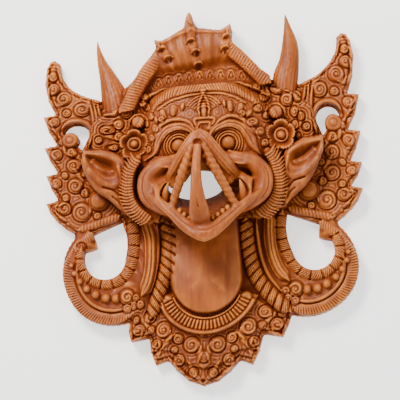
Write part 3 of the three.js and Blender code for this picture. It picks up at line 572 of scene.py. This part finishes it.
def lay_crest(full, edge, f, crest_edge):
    """Turns the crest about its foot and adds it to the whole drawing, with the leaves before it."""
    c, s = math.cos(TILT), math.sin(TILT)
    a = full.u * c + (full.v - FOOT) * s
    b = -full.u * s + (full.v - FOOT) * c + FOOT
    near = (a > -107) & (a < 107) & (b > 117)
    d = np.full(full.u.shape, 50.0)
    h = np.full(full.u.shape, -9.0)
    d[near] = sample(crest_edge, f.us, f.vs, a[near], b[near])
    h[near] = sample(f.h, f.us, f.vs, a[near], b[near])
    inside = d < 0
    own = inside & (edge > 0)
    full.h = np.where(own, h, np.where(inside, np.maximum(full.h, h), full.h))
    leaves = [(x, 151.5 - 0.0016 * x * x, 4.2) for x in range(-52, 53, 13)]
    band = (full.v > 146 - 0.0016 * full.u**2) & (full.v < 160) & (np.abs(full.u) < 62)
    full.weave(leaves, band, pitch=3.6, height=2.4)
    for x, y, r in leaves:
        full.ridge([(x - 4.5, y - 3), (x - 2.4, y + 3), (x, y + 5), (x + 2.4, y + 3), (x + 4.5, y - 3)],
                   1.3, 2.2)
        full.disc(x, y - 1, 0.45 * r, 1.8, stretch=1.8)
    return np.minimum(edge, d), np.where(own, 4.0, 0.0)


class Field:
    """Distances on a grid of points: negative in the wood, positive in the air."""

    def __init__(self):
        self.x = np.arange(-WIDE, WIDE + STEP, STEP, dtype=np.float32)
        self.y = np.arange(LOW, HIGH + STEP, STEP, dtype=np.float32)
        self.z = np.arange(-3 * STEP, TOP + STEP, STEP, dtype=np.float32)
        self.f = np.full((len(self.x), len(self.y), len(self.z)), 9, np.float32)

    def window(self, low, high):
        cut = []
        for axis, a, b in zip((self.x, self.y, self.z), low, high):
            i, j = np.searchsorted(axis, [a, b])
            cut.append(slice(max(i - 1, 0), min(j + 1, len(axis))))
        return tuple(cut)

    def points(self, w):
        return np.meshgrid(self.x[w[0]], self.y[w[1]], self.z[w[2]], indexing="ij", sparse=True)

    def add(self, w, d):
        self.f[w] = np.minimum(self.f[w], d)

    def cut(self, w, d):
        self.f[w] = np.maximum(self.f[w], -d)

    def limb(self, points, ribs=0.0, slant=0.0, depth=0.3, lines=0, crease=0.12, per=6, soft=0.0,
             cut=False):
        """A rounded bar through (x, y, z, half width, half depth), with cuts across or along it.

        soft is the width in mm over which the bar runs smoothly into the wood around it.
        """
        path = flow(points, per)
        reach = path[:, 3:5].max() + 2.5 * STEP + soft
        whole = self.window(path[:, :3].min(0) - reach, path[:, :3].max(0) + reach)
        bar = np.full(self.f[whole].shape, 9, np.float32)
        starts = [q.start for q in whole]
        run = 0.0
        for a, b in zip(path[:-1], path[1:]):
            axis = b[:3] - a[:3]
            size = float(np.linalg.norm(axis))
            if size < 1e-6:
                continue
            axis = axis / size
            reach = max(a[3], b[3], a[4], b[4]) + 2.5 * STEP + soft
            w = self.window(np.minimum(a[:3], b[:3]) - reach, np.maximum(a[:3], b[:3]) + reach)
            x, y, z = self.points(w)
            px, py, pz = x - a[0], y - a[1], z - a[2]
            t = np.clip((px * axis[0] + py * axis[1] + pz * axis[2]) / size, 0, 1)
            along = t * size
            ex, ey, ez = px - along * axis[0], py - along * axis[1], pz - along * axis[2]
            up = np.array([0, 0, 1.0]) - axis[2] * axis
            norm = np.linalg.norm(up)
            up = up / norm if norm > 0.2 else np.array([0, 1.0, 0])
            across = np.cross(axis, up)
            lateral = ex * across[0] + ey * across[1] + ez * across[2]
            rise = ex * up[0] + ey * up[1] + ez * up[2]
            rest = np.maximum(ex * ex + ey * ey + ez * ez - lateral**2 - rise**2, 0)
            rw, rd = a[3] + (b[3] - a[3]) * t, a[4] + (b[4] - a[4]) * t
            q = np.sqrt((lateral / rw) ** 2 + (rise / rd) ** 2 + rest / (rw * rw))
            if ribs:
                wave = np.abs(np.sin(np.pi * (run + along + slant * lateral) / ribs)) ** 0.6
                q = q / (1 - depth * (1 - wave))
            if lines:
                phi = np.arctan2(rise, lateral)
                q = q / (1 - crease * np.clip(1 - np.abs(np.sin(phi * lines)) * 1.8, 0, 1))
            own = tuple(slice(p.start - o, p.stop - o) for p, o in zip(w, starts))
            bar[own] = np.minimum(bar[own], (q - 1) * np.minimum(rw, rd))
            run += size
        if cut:
            self.cut(whole, bar)
        elif soft:
            old = self.f[whole]
            h = np.clip(0.5 + 0.5 * (old - bar) / soft, 0, 1)
            self.f[whole] = old * (1 - h) + bar * h - soft * h * (1 - h)
        else:
            self.add(whole, bar)

    def groove(self, points):
        """Cuts a rounded channel along the points."""
        self.limb(points, cut=True)

    def ball(self, x, y, z, rx, ry, rz, turn=0.0, cut=False):
        reach = max(rx, ry, rz) + 2 * STEP
        w = self.window((x - reach, y - reach, z - reach), (x + reach, y + reach, z + reach))
        X, Y, Z = self.points(w)
        c, s = math.cos(turn), math.sin(turn)
        a, b = (X - x) * c + (Y - y) * s, (Y - y) * c - (X - x) * s
        q = np.sqrt((a / rx) ** 2 + (b / ry) ** 2 + ((Z - z) / rz) ** 2)
        (self.cut if cut else self.add)(w, (q - 1) * min(rx, ry, rz))


JAW = [(0, -52.5), (10, -48), (20, -40), (40, -15.5), (57, -2)]
MOUTH = (3.0, 4.0)


def jaw(g):
    """The open lower jaw, which draws back under the chin."""
    right = flow(JAW, 4).tolist()
    outline = right + [(60, 20), (40, 34), (-40, 34), (-60, 20)] + [(-x, y) for x, y in right[:0:-1]]
    m = Relief(-80, -75, 80, 50)
    flat = polygon_distance(m.u, m.v, outline)
    w = g.window((-74, -66, PLATE - 4), (74, 40, 120))
    x, y, z = g.points(w)
    low = ramp(-y, 0, 52)
    front = ramp(z, PLATE, RIM)
    scale = 1 - 0.45 * low * (1 - front)
    X = np.broadcast_to(x, (x.shape[0], y.shape[1], z.shape[2]))
    d = sample(flat, m.us, m.vs, X, np.broadcast_to(y / np.maximum(scale, 0.3), X.shape))
    top = RIM + 16 * low - 22 * ramp(y, 0, 34)
    lip = 2.2 * np.exp(-(((d + 3.2) / 2.6) ** 2))
    g.add(w, np.maximum(np.maximum(d, z - top - lip), PLATE - 4 - z))


def funnel(g):
    """The space inside the mouth, from the wide front to the small hole behind."""
    w = g.window((-72, -60, -3 * STEP), (76, 50, TOP + STEP))
    x, y, z = g.points(w)
    share = np.interp(z, [-2, 38, 80, 132], [0, 0, 0.8, 1.12])
    below = y < 4
    dx = np.abs(x - MOUTH[0]) / 57
    tall = np.where(below, 46 * (1 - 0.35 * np.minimum(dx, 1)), 30)
    cx, cy = -9 + (MOUTH[0] + 9) * share, 15 + (MOUTH[1] - 15) * share
    ry = 17.5 + (tall - 17.5) * share
    wide = 57 - 10 * np.clip(-(y - cy) / ry, 0, 1)
    rx = 35 + (wide - 35) * share
    q = np.sqrt(((x - cx) / rx) ** 2 + ((y - cy) / ry) ** 2)
    g.cut(w, (q - 1) * 0.8 * np.minimum(rx, ry))


def hollow(g):
    """The hollow for the wearer's face."""
    w = g.window((-70, -34, -3 * STEP), (70, 138, 50))
    x, y, z = g.points(w)
    share = np.interp(z, [-9, 25.3, 42.3, 46], [1, 0.95, 0.6, 0])
    q = np.sqrt((x / 62) ** 2 + ((y - 52) / 78) ** 2)
    g.cut(w, (q - share) * 50)


def fringe(g, s):
    """The fluted fringe round a cheek: a band with a blade across it every few millimetres."""
    g.limb([(s * 80, 52, 58, 5, 6), (s * 88, 38, 60, 7, 8), (s * 91, 20, 60, 7, 8), (s * 89, 2, 60, 7, 8),
            (s * 80, -13, 58, 7, 8), (s * 67, -24, 56, 6, 7)])
    line = flow([(82 * s, 50), (89 * s, 38), (92 * s, 20), (90 * s, 2), (82 * s, -12), (68 * s, -24)])
    run = np.concatenate([[0], np.cumsum(np.hypot(*np.diff(line, axis=0).T))])
    marks = np.linspace(0, run[-1], int(run[-1] / FRINGE_PITCH))
    for a in np.interp(marks, run, np.arange(len(line))):
        i = int(min(a, len(line) - 2))
        step = line[i + 1] - line[i]
        p, t = line[i] + step * (a - i), step / np.hypot(*step)
        n = np.array([-t[1], t[0]])
        n = n if n[0] * s > 0 else -n
        g.limb([(*(p - n * 5), 66, 1.9, 5), (*(p + n), 64, 2.0, 6), (*(p + n * 6 - t * 2), 52, 1.7, 8)],
               per=3)


def face(g):
    """The free forms: cheeks, the fringe round them and the horns."""
    for s in (-1, 1):
        k = 1.0 if s > 0 else 0.93  # the left cheek is a little narrower
        g.limb([(s * 40 * k, 47, 78, 6, 8), (s * 58 * k, 41, 78, 9, 11), (s * 73 * k, 26, 75, 11, 13),
                (s * 72 * k, 6, 76, 11, 13), (s * 57 * k, -9, 84, 8, 10), (s * 38 * k, -20, 92, 4, 6)],
               soft=9)
        g.limb([(s * 22 + 2, 50, 76, 5, 7), (s * 40 + 2, 44, 76, 7, 8), (s * 60 + 2, 41, 70, 8, 9)], soft=6)
        for lift in (0, 5.5, 11):
            g.limb([(s * 30 + 2, 44 + lift, 84 - 0.5 * lift, 1.2, 2),
                    (s * 44 + 2, 39 + lift, 86 - 0.6 * lift, 1.6, 3),
                    (s * 58 + 2, 40 + lift, 82 - 0.9 * lift, 1.5, 3),
                    (s * 66 + 2, 37 + lift, 70 - 0.9 * lift, 1, 2)], soft=2)
        g.groove([(s * 50, 50, 89, 1, 2), (s * 66 * k, 44, 90, 1.4, 2.4), (s * 79 * k, 27, 87, 1.4, 2.4),
                  (s * 78 * k, 5, 88, 1.4, 2.4), (s * 62 * k, -12, 94, 1.2, 2.4),
                  (s * 46 * k, -19, 98, 0.8, 2)])
        fringe(g, s)
    left = [(-106, 120, 18), (-108.5, 136, 16.5), (-115.5, 162, 10.4), (-121.7, 181, 6), (-124.8, 197, 2.8),
            (-125.5, 210, 0.6)]
    right = [(104, 124, 15.5), (107, 141, 15.5), (111.8, 156, 12.8), (114.2, 170, 11.2), (114.8, 184, 8.8),
             (113.4, 200, 4.8), (111.2, 219, 0.6)]
    for horn in (left, right):
        n = len(horn) - 1
        g.limb([(x, y, 17 + 10 * (i / n) ** 2, r, 0.85 * r) for i, (x, y, r) in enumerate(horn)], lines=9,
               crease=0.07)


def beak(g):
    """The ridge of the beak, the hood it comes out of, toothed bars, fangs and teeth."""
    g.limb([(-6, 66, 100, 4.2, 8), (-6.5, 57, 114, 5.0, 9), (-7.6, 48, 124, 5.2, 9),
            (-8.5, 35, 130, 5.8, 8.5), (-8.3, 16, 131, 7.0, 8), (-7.0, -3, 128, 9.6, 8),
            (-5.4, -16, 121, 12, 7.5), (-4.4, -26, 112, 12, 6)], soft=2)
    # the hood: two broad bands that fall from its point to the corners of the mouth
    for band in ([(-4, 79, 98, 4, 5), (-10, 72, 101, 8, 7), (-19, 60, 101, 8.5, 7), (-27, 48, 97, 8, 7.5),
                  (-34, 36, 90, 7.5, 8), (-40, 27, 82, 6, 6), (-45, 20, 74, 4, 4)],
                 [(-3.6, 79, 98, 4, 5), (2, 72, 101, 8, 7), (10, 61, 101, 9, 7), (19, 49, 97, 9, 7.5),
                  (29, 37, 91, 8.5, 8), (37, 28, 83, 7, 6), (44, 22, 74, 5, 4)]):
        g.limb(band, soft=3, lines=5, crease=0.16)
    g.limb([(-4, 74, 97, 7, 6), (-5.5, 64, 98, 13, 6), (-6, 54, 98, 17, 5)], soft=3)
    g.limb([(-20, 54, 93, 5, 4), (-28, 38, 90, 8, 4), (-36, 18, 84, 6, 3.5)], soft=3)
    g.limb([(10, 54, 93, 5, 4), (20, 38, 90, 8, 4), (32, 20, 84, 6, 3.5)], soft=3)
    # the inside of the upper beak, behind the left bars
    g.limb([(-14, 48, 78, 8, 9), (-19, 36, 76, 7.5, 9), (-24, 24, 74, 5, 7)], soft=3)
    g.ball(-5.8, 67.5, 111, 6.5, 5, 7.5, cut=True)
    for side in (-1, 1):
        bar = [(side * 7 - 6, 62, 106, 5, 6), (side * 20 - 4.5, 32, 106, 6, 6),
               (side * 31 - 2, 7, 102, 5.6, 5.6), (side * 40 + 1, -15, 98, 4.2, 5)]
        g.limb(bar, ribs=8, slant=0.5, depth=0.24)
        for i in range(5):
            t = (i + 0.7) / 6
            x = side * (3.4 + 29 * t) - 6 + 4 * t
            g.ball(x, 57 - 57 * t, 107 - 4 * t, 3.2, 3.8, 4.5, side * 0.5)
        g.limb([(side * 49 + 1, -8, 84, 5.2, 6), (side * 48 + 1, 2, 86, 4.8, 5.4),
                (side * 46 + 1, 11, 87, 3.4, 4.4), (side * 43.5 + 1, 19, 87, 0.9, 1.4)])
    # the broad lip of the lower jaw, from one corner of the mouth to the other
    g.limb([(-66, 5, 88, 1.5, 2), (-52, -5, 96, 5, 5), (-38, -17, 101, 6.5, 5), (-24, -31, 105, 8, 5.5),
            (-12, -39, 109, 9, 6), (-1, -42, 111, 10, 6), (12, -38, 109, 9, 6), (26, -28, 105, 8, 5.5),
            (40, -17, 101, 6.5, 5), (55, -6, 96, 5, 5), (69, 4, 88, 1.5, 2)], soft=3, lines=4, crease=0.12)
    g.groove([(-8.6, 40, 139.9, 0.8, 1.0), (-8.6, 14, 140.3, 0.9, 1.2), (-7.4, -3, 137.4, 1, 1.3),
              (-6.2, -11, 132.6, 0.9, 1.2)])
    g.groove([(-50, -3, 102, 0.9, 1.4), (-38, -15, 106, 1.2, 1.8), (-24, -28, 110.5, 1.3, 1.8),
              (-12, -36, 115, 1.3, 1.8), (-1, -39, 117, 1.3, 1.8), (12, -35, 115, 1.3, 1.8),
              (26, -26, 110.5, 1.3, 1.8), (40, -15, 106, 1.2, 1.8), (53, -4, 102, 0.9, 1.4)])
    for x, y in [(5, -28), (11, -25.5), (17, -22), (23, -18), (29, -14), (-12, -29), (-18, -25), (-24, -20),
                 (-29, -15)]:
        g.ball(x, y, 101, 3.3, 3.9, 6)


def surface(f, x0, y0, z0):
    """The skin where the field changes sign, one point for each cell that it crosses."""
    inside = f < 0
    count = np.zeros(tuple(n - 1 for n in f.shape), np.uint8)
    ends = (slice(None, -1), slice(1, None))
    corners = [(i, j, k) for i in (0, 1) for j in (0, 1) for k in (0, 1)]
    for i, j, k in corners:
        count += inside[ends[i], ends[j], ends[k]]
    cells = np.argwhere((count > 0) & (count < 8)).astype(np.int32)
    del count
    number = np.full(tuple(n - 1 for n in f.shape), -1, np.int32)
    number[cells[:, 0], cells[:, 1], cells[:, 2]] = np.arange(len(cells))
    values = {c: f[cells[:, 0] + c[0], cells[:, 1] + c[1], cells[:, 2] + c[2]] for c in corners}
    total = np.zeros((len(cells), 3))
    hits = np.zeros(len(cells))
    for c in corners:
        for axis in range(3):
            if c[axis]:
                continue
            e = list(c)
            e[axis] = 1
            a, b = values[c], values[tuple(e)]
            on = (a < 0) != (b < 0)
            t = np.where(on, a / np.where(on, a - b, 1), 0)
            p = np.tile(np.array(c, float), (len(cells), 1))
            p[:, axis] = t
            total += p * on[:, None]
            hits += on
    points = (cells + total / hits[:, None]) * STEP + np.array([x0, y0, z0])
    faces = []
    for axis in range(3):
        b, c = (axis + 1) % 3, (axis + 2) % 3
        one = [slice(None)] * 3
        two = [slice(None)] * 3
        one[axis], two[axis] = slice(None, -1), slice(1, None)
        here, there = inside[tuple(one)], inside[tuple(two)]
        edge = np.argwhere(here != there)
        edge = edge[(edge[:, b] > 0) & (edge[:, c] > 0)]
        edge = edge[(edge[:, b] < f.shape[b] - 1) & (edge[:, c] < f.shape[c] - 1)]
        quad = []
        for db, dc in ((-1, -1), (0, -1), (0, 0), (-1, 0)):
            q = edge.copy()
            q[:, b] += db
            q[:, c] += dc
            quad.append(number[q[:, 0], q[:, 1], q[:, 2]])
        quad = np.stack(quad, 1)
        out = here[edge[:, 0], edge[:, 1], edge[:, 2]]
        quad[~out] = quad[~out][:, ::-1]
        faces.append(quad)
    return points, np.concatenate(faces)


def blurred(a, n):
    """The mean over a cube of 2 n + 1 points a side."""
    a = a.astype(np.float32)
    for axis in range(3):
        pad = [(0, 0)] * 3
        pad[axis] = (n + 1, n)
        s = np.cumsum(np.pad(a, pad, mode="edge"), axis=axis,
                      dtype=np.float32 if a.shape[axis] < 600 else float)
        hi, lo = [slice(None)] * 3, [slice(None)] * 3
        hi[axis], lo[axis] = slice(2 * n + 1, None), slice(None, -(2 * n + 1))
        a = (s[tuple(hi)] - s[tuple(lo)]) / (2 * n + 1)
    return a


def sample3(a, x0, y0, z0, step, p):
    q = (p - np.array([x0, y0, z0])) / step
    q = np.clip(q, 0, np.array(a.shape) - 1.001)
    i = q.astype(int)
    t = q - i
    out = 0
    for di in (0, 1):
        for dj in (0, 1):
            for dk in (0, 1):
                weight = (np.abs(1 - di - t[:, 0]) * np.abs(1 - dj - t[:, 1]) * np.abs(1 - dk - t[:, 2]))
                out = out + a[i[:, 0] + di, i[:, 1] + dj, i[:, 2] + dk] * weight
    return out


def openness(wood, origin, p, reach=48.0, rays=20, steps=12):
    """The share of the sky that each point sees past the wood within reach."""
    total = np.zeros(len(p))
    for k in range(rays):
        up = math.sqrt(1 - (k + 0.5) / rays * 0.97)
        turn = k * 2.4
        flat = math.sqrt(1 - up * up)
        ray = np.array([flat * math.cos(turn), flat * math.sin(turn), up])
        free = np.ones(len(p), bool)
        for far in 2.6 + (reach - 2.6) * np.linspace(0, 1, steps) ** 1.6:
            q = np.rint((p + ray * far - origin) / STEP).astype(np.int32)
            q = np.clip(q, 0, np.array(wood.shape) - 1)
            free &= ~wood[q[:, 0], q[:, 1], q[:, 2]]
        total += free
    return total / rays


def new_mesh(name, points, faces):
    mesh = bpy.data.meshes.new(name)
    mesh.vertices.add(len(points))
    mesh.vertices.foreach_set("co", np.ascontiguousarray(points, np.float32).ravel())
    mesh.loops.add(faces.size)
    mesh.loops.foreach_set("vertex_index", np.ascontiguousarray(faces, np.int32).ravel())
    mesh.polygons.add(len(faces))
    side = faces.shape[1]
    mesh.polygons.foreach_set("loop_start", np.arange(0, faces.size, side, dtype=np.int32))
    mesh.update(calc_edges=True)
    mesh.validate()
    return mesh


def build():
    half, half_edge = wings_and_collar()
    throat_and_head(half)
    full, edge = mirrored_full(half, half_edge)
    bands(full)
    ears(full)
    edge, under = lay_crest(full, edge, *crest())

    g = Field()
    X, Y = np.meshgrid(g.x, g.y, indexing="ij")
    top = sample(full.h, full.us, full.vs, X, Y)
    bottom = sample(under, full.us, full.vs, X, Y)
    out = sample(edge, full.us, full.vs, X, Y)
    for k, z in enumerate(g.z):
        g.f[:, :, k] = np.maximum(np.maximum(z - top, bottom - z), out)
    jaw(g)
    face(g)
    hollow(g)
    funnel(g)
    beak(g)
    whole = g.window((-WIDE, LOW, -9), (WIDE, HIGH, 9))
    z = g.z[whole[2]]
    g.f[whole] = np.maximum(g.f[whole], -z[None, None, :])
    origin = (g.x[0], g.y[0], g.z[0])
    points, faces = surface(g.f, *origin)

    # the low relief takes its exact height from the map
    x, y, z = points.T
    h = sample(full.h, full.us, full.vs, x, y)
    dhx = sample(np.gradient(full.h, FINE, axis=0), full.us, full.vs, x, y)
    dhy = sample(np.gradient(full.h, FINE, axis=1), full.us, full.vs, x, y)
    inset = -sample(edge, full.us, full.vs, x, y)
    value = sample3(g.f, *origin, STEP, points)
    same = (np.abs(z - h) < SNAP) & (np.hypot(dhx, dhy) < STEEP) & (inset > INSET) & (np.abs(value) < 0.6)
    points[same, 2] = h[same]

    mesh = new_mesh("draft", points, faces)
    draft = bpy.data.objects.new("draft", mesh)
    bpy.context.scene.collection.objects.link(draft)
    slim = draft.modifiers.new("slim", "DECIMATE")
    slim.ratio = min(1.0, TRIANGLES / (2 * len(faces)))
    bpy.context.view_layer.update()
    graph = bpy.context.evaluated_depsgraph_get()
    slimmed = bpy.data.meshes.new_from_object(draft.evaluated_get(graph))
    bpy.data.objects.remove(draft)
    bpy.data.meshes.remove(mesh)
    slimmed.validate()

    p = np.empty(len(slimmed.vertices) * 3, np.float32)
    slimmed.vertices.foreach_get("co", p)
    p = p.reshape(-1, 3).astype(float)
    wood = (g.f < 0)
    # how much wood lies round each point: it drives the dark stain and painted shade in the cuts, and the
    # wear and painted highlight on edges
    shade = 0
    for n, weight in BLURS:
        near = sample3(blurred(wood, n), *origin, STEP, p)
        shade = shade + weight * (near - 0.5)
    fine = sample3(blurred(wood, 1), *origin, STEP, p) - 0.5
    # the share of sky each point sees, used to paint shade into the wood's colour
    sky = openness(wood, np.array(origin), p)

    # slow waves, so that no line is quite true
    rng = np.random.default_rng(11)
    for _ in range(10):
        k = rng.normal(size=3) / rng.uniform(9, 26)
        phase = rng.uniform(0, 2 * np.pi)
        wave = np.sin(p @ k + phase)[:, None]
        p = p + wave * rng.normal(size=3) * 0.11 * np.array([1, 1, 0.8]) * ramp(p[:, 2:], 0.5, 6)
    p = carved(p) * MM
    slimmed.vertices.foreach_set("co", np.ascontiguousarray(p, np.float32).ravel())
    for name, values in (("shade", shade), ("fine", fine), ("sky", sky)):
        layer = slimmed.attributes.new(name, "FLOAT", "POINT")
        layer.data.foreach_set("value", np.ascontiguousarray(values, np.float32))
    slimmed.polygons.foreach_set("use_smooth", np.ones(len(slimmed.polygons), bool))
    slimmed.update()
    slimmed.name = "garuda_carving"
    carving = bpy.data.objects.new("garuda_carving", slimmed)
    bpy.context.scene.collection.objects.link(carving)
    print("triangles", len(slimmed.polygons))
    return carving


class Nodes:
    """A short way to write a node tree."""

    def __init__(self, material):
        material.use_nodes = True
        self.tree = material.node_tree
        self.shader = self.tree.nodes["Principled BSDF"]

    def add(self, kind, inputs=None, **settings):
        node = self.tree.nodes.new(kind)
        for key, value in settings.items():
            setattr(node, key, value)
        for key, value in (inputs or {}).items():
            if isinstance(value, bpy.types.NodeSocket):
                self.tree.links.new(value, node.inputs[key])
            else:
                node.inputs[key].default_value = value
        return node

    def math(self, operation, *values, clamp=False):
        node = self.add("ShaderNodeMath", operation=operation, use_clamp=clamp)
        for i, value in enumerate(values):
            if isinstance(value, bpy.types.NodeSocket):
                self.tree.links.new(value, node.inputs[i])
            else:
                node.inputs[i].default_value = value
        return node.outputs[0]

    def mix(self, factor, a, b, blend="MIX"):
        node = self.add("ShaderNodeMix", data_type="RGBA", blend_type=blend)
        for socket, value in ((node.inputs["Factor"], factor), (node.inputs[6], a), (node.inputs[7], b)):
            if isinstance(value, bpy.types.NodeSocket):
                self.tree.links.new(value, socket)
            else:
                socket.default_value = value
        return node.outputs[2]

    def range(self, value, lo, hi, to_lo=0.0, to_hi=1.0):
        node = self.add("ShaderNodeMapRange", {0: value, 1: lo, 2: hi, 3: to_lo, 4: to_hi})
        return node.outputs[0]


# shaded is painted shade; deep is partly the dark stain of the cuts and partly painted shade; the golden
# one is partly rubbed wood and partly painted highlight; the rest are the wood's own tones and grain
WOOD = dict(red=(0.25, 0.046, 0.0075, 1), gold=(0.355, 0.086, 0.0125, 1), grain=(0.13, 0.022, 0.0045, 1),
            stain=(0.14, 0.024, 0.005, 1), pores=(0.12, 0.02, 0.003, 1), shaded=(0.155, 0.028, 0.0065, 1),
            deep=(0.115, 0.021, 0.0055, 1), wear_and_painted_highlight=(0.68, 0.235, 0.043, 1))


def wood_material():
    """Oiled hardwood: darker in the cuts, partly a dark stain there and partly painted shade; painted shade
    where little sky is seen; golden on edges and ridges, partly rubbed wood and partly painted highlight.
    """
    material = bpy.data.materials.new("carved_hardwood")
    n = Nodes(material)
    place = n.add("ShaderNodeTexCoord").outputs["Object"]

    def stretched(scale, xyz, detail=3.0, rough=0.55, warp=0.0):
        mapped = n.add("ShaderNodeMapping", {"Vector": place, "Scale": xyz}).outputs[0]
        return n.add("ShaderNodeTexNoise", {"Vector": mapped, "Scale": scale, "Detail": detail,
                "Roughness": rough, "Distortion": warp}).outputs[0]

    broad = stretched(9.0, (1.0, 0.6, 1.0), 2.0)
    stain = stretched(24.0, (1.0, 0.55, 1.0), 3.0)
    grain = stretched(60.0, (1.0, 0.12, 0.6), 4.0, 0.6, 0.4)
    pores = stretched(420.0, (1.0, 0.07, 0.7), 2.0, 0.6)
    shade = n.add("ShaderNodeAttribute", attribute_name="shade").outputs["Fac"]
    fine = n.add("ShaderNodeAttribute", attribute_name="fine").outputs["Fac"]
    sky = n.add("ShaderNodeAttribute", attribute_name="sky").outputs["Fac"]
    tone = n.mix(n.range(broad, 0.35, 0.65), WOOD["red"], WOOD["gold"])
    tone = n.mix(n.range(grain, 0.42, 0.62, 0.0, 0.62), tone, WOOD["grain"])
    tone = n.mix(n.range(stain, 0.5, 0.66, 0.0, 0.55), tone, WOOD["stain"])
    tone = n.mix(n.range(pores, 0.56, 0.74, 0.0, 0.35), tone, WOOD["pores"])
    # cuts and recesses darken towards the deep tone: partly the dark stain the carving has there, partly
    # painted shade
    deep = n.math("ADD", n.range(shade, 0.05, 0.62), n.range(fine, 0.03, 0.22, 0.0, 0.55), clamp=True)
    # painted shade: the colour darkens towards the shaded tone where a point sees little sky
    tone = n.mix(n.range(sky, 0.85, 0.3, 0.0, 0.75), tone, WOOD["shaded"])
    tone = n.mix(deep, tone, WOOD["deep"])
    # golden on convex edges and small ridges: partly rubbed wood, partly painted highlight
    wear_and_painted_highlight = n.math("ADD", n.range(shade, 0.0, -0.6, 0.0, 0.42), n.range(fine, -0.03, -0.2, 0.0, 0.5))
    wear_and_painted_highlight = n.math("MULTIPLY", wear_and_painted_highlight, n.range(grain, 0.3, 0.6, 1.0, 0.6), clamp=True)
    tone = n.mix(wear_and_painted_highlight, tone, WOOD["wear_and_painted_highlight"])
    n.tree.links.new(tone, n.shader.inputs["Base Color"])
    n.tree.links.new(n.range(grain, 0.3, 0.7, 0.36, 0.5), n.shader.inputs["Roughness"])
    n.tree.links.new(n.range(sky, 0.35, 0.9, 0.0, 0.22), n.shader.inputs["Specular IOR Level"])
    height = n.math("ADD", n.math("MULTIPLY", grain, 0.6), n.math("MULTIPLY", pores, 0.25))
    bump = n.add("ShaderNodeBump", {"Height": height, "Strength": 0.35, "Distance": 0.0006})
    n.tree.links.new(bump.outputs[0], n.shader.inputs["Normal"])
    return material


def plain_material(name, colour, roughness, glow=0.0):
    material = bpy.data.materials.new(name)
    n = Nodes(material)
    n.shader.inputs["Base Color"].default_value = colour
    n.shader.inputs["Roughness"].default_value = roughness
    n.shader.inputs["Emission Color"].default_value = colour
    n.shader.inputs["Emission Strength"].default_value = glow
    return material


def area_light(name, place, aim, size, power, colour=(1, 1, 1)):
    light = bpy.data.lights.new(name, "AREA")
    light.size = size
    light.energy = power
    light.color = colour
    lamp = bpy.data.objects.new(name, light)
    lamp.location = place
    lamp.rotation_mode = "QUATERNION"
    lamp.rotation_quaternion = (Vector(aim) - Vector(place)).to_track_quat("-Z", "Y")
    bpy.context.scene.collection.objects.link(lamp)


AIM = Vector((0, 0, 0.020))  # the point that the camera looks at, m
AWAY = Vector((0.070, -0.158, 1.0)).normalized()  # from there to the camera
DISTANCE = 2.6
LENS = 188.4
SHIFT = (-0.0075, -0.0085)
FLOOR_HALF = 6
FLOOR_DROP = 0.0005  # keeps the floor clear of the mask's back, m

carving = build()
carving.data.materials.append(wood_material())
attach(carving, "root")
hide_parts("garuda_mask")

floor_mesh = bpy.data.meshes.new("floor")
corners = [(x * FLOOR_HALF, y * FLOOR_HALF, 0) for x, y in ((-1, -1), (1, -1), (1, 1), (-1, 1))]
floor_mesh.from_pydata(corners, [], [(0, 1, 2, 3)])
floor = bpy.data.objects.new("floor", floor_mesh)
bpy.context.scene.collection.objects.link(floor)
floor.location.z = -FLOOR_DROP
floor.data.materials.append(plain_material("pale_floor", (0.95, 0.95, 0.95, 1), 0.9, glow=1.1))

world = bpy.data.worlds.new("studio")
world.use_nodes = True
world.node_tree.nodes["Background"].inputs["Color"].default_value = (1, 1, 1, 1)
world.node_tree.nodes["Background"].inputs["Strength"].default_value = 0.8
bpy.context.scene.world = world
area_light("key", (-0.7, 1.0, 1.5), (0, 0, 0.05), 0.6, 64, (1.0, 0.96, 0.88))
area_light("fill", (1.1, -0.5, 1.6), (0, 0, 0.05), 1.4, 12)

camera_data = bpy.data.cameras.new("camera")
camera_data.sensor_width = 36
camera_data.lens = LENS
camera_data.shift_x, camera_data.shift_y = SHIFT
camera_data.clip_end = 50
camera = bpy.data.objects.new("camera", camera_data)
camera.location = AIM + AWAY * DISTANCE
right = Vector((0, 1, 0)).cross(AWAY).normalized()
camera.rotation_mode = "QUATERNION"
camera.rotation_quaternion = Matrix((right, AWAY.cross(right), AWAY)).transposed().to_quaternion()
bpy.context.scene.collection.objects.link(camera)
bpy.context.scene.camera = camera
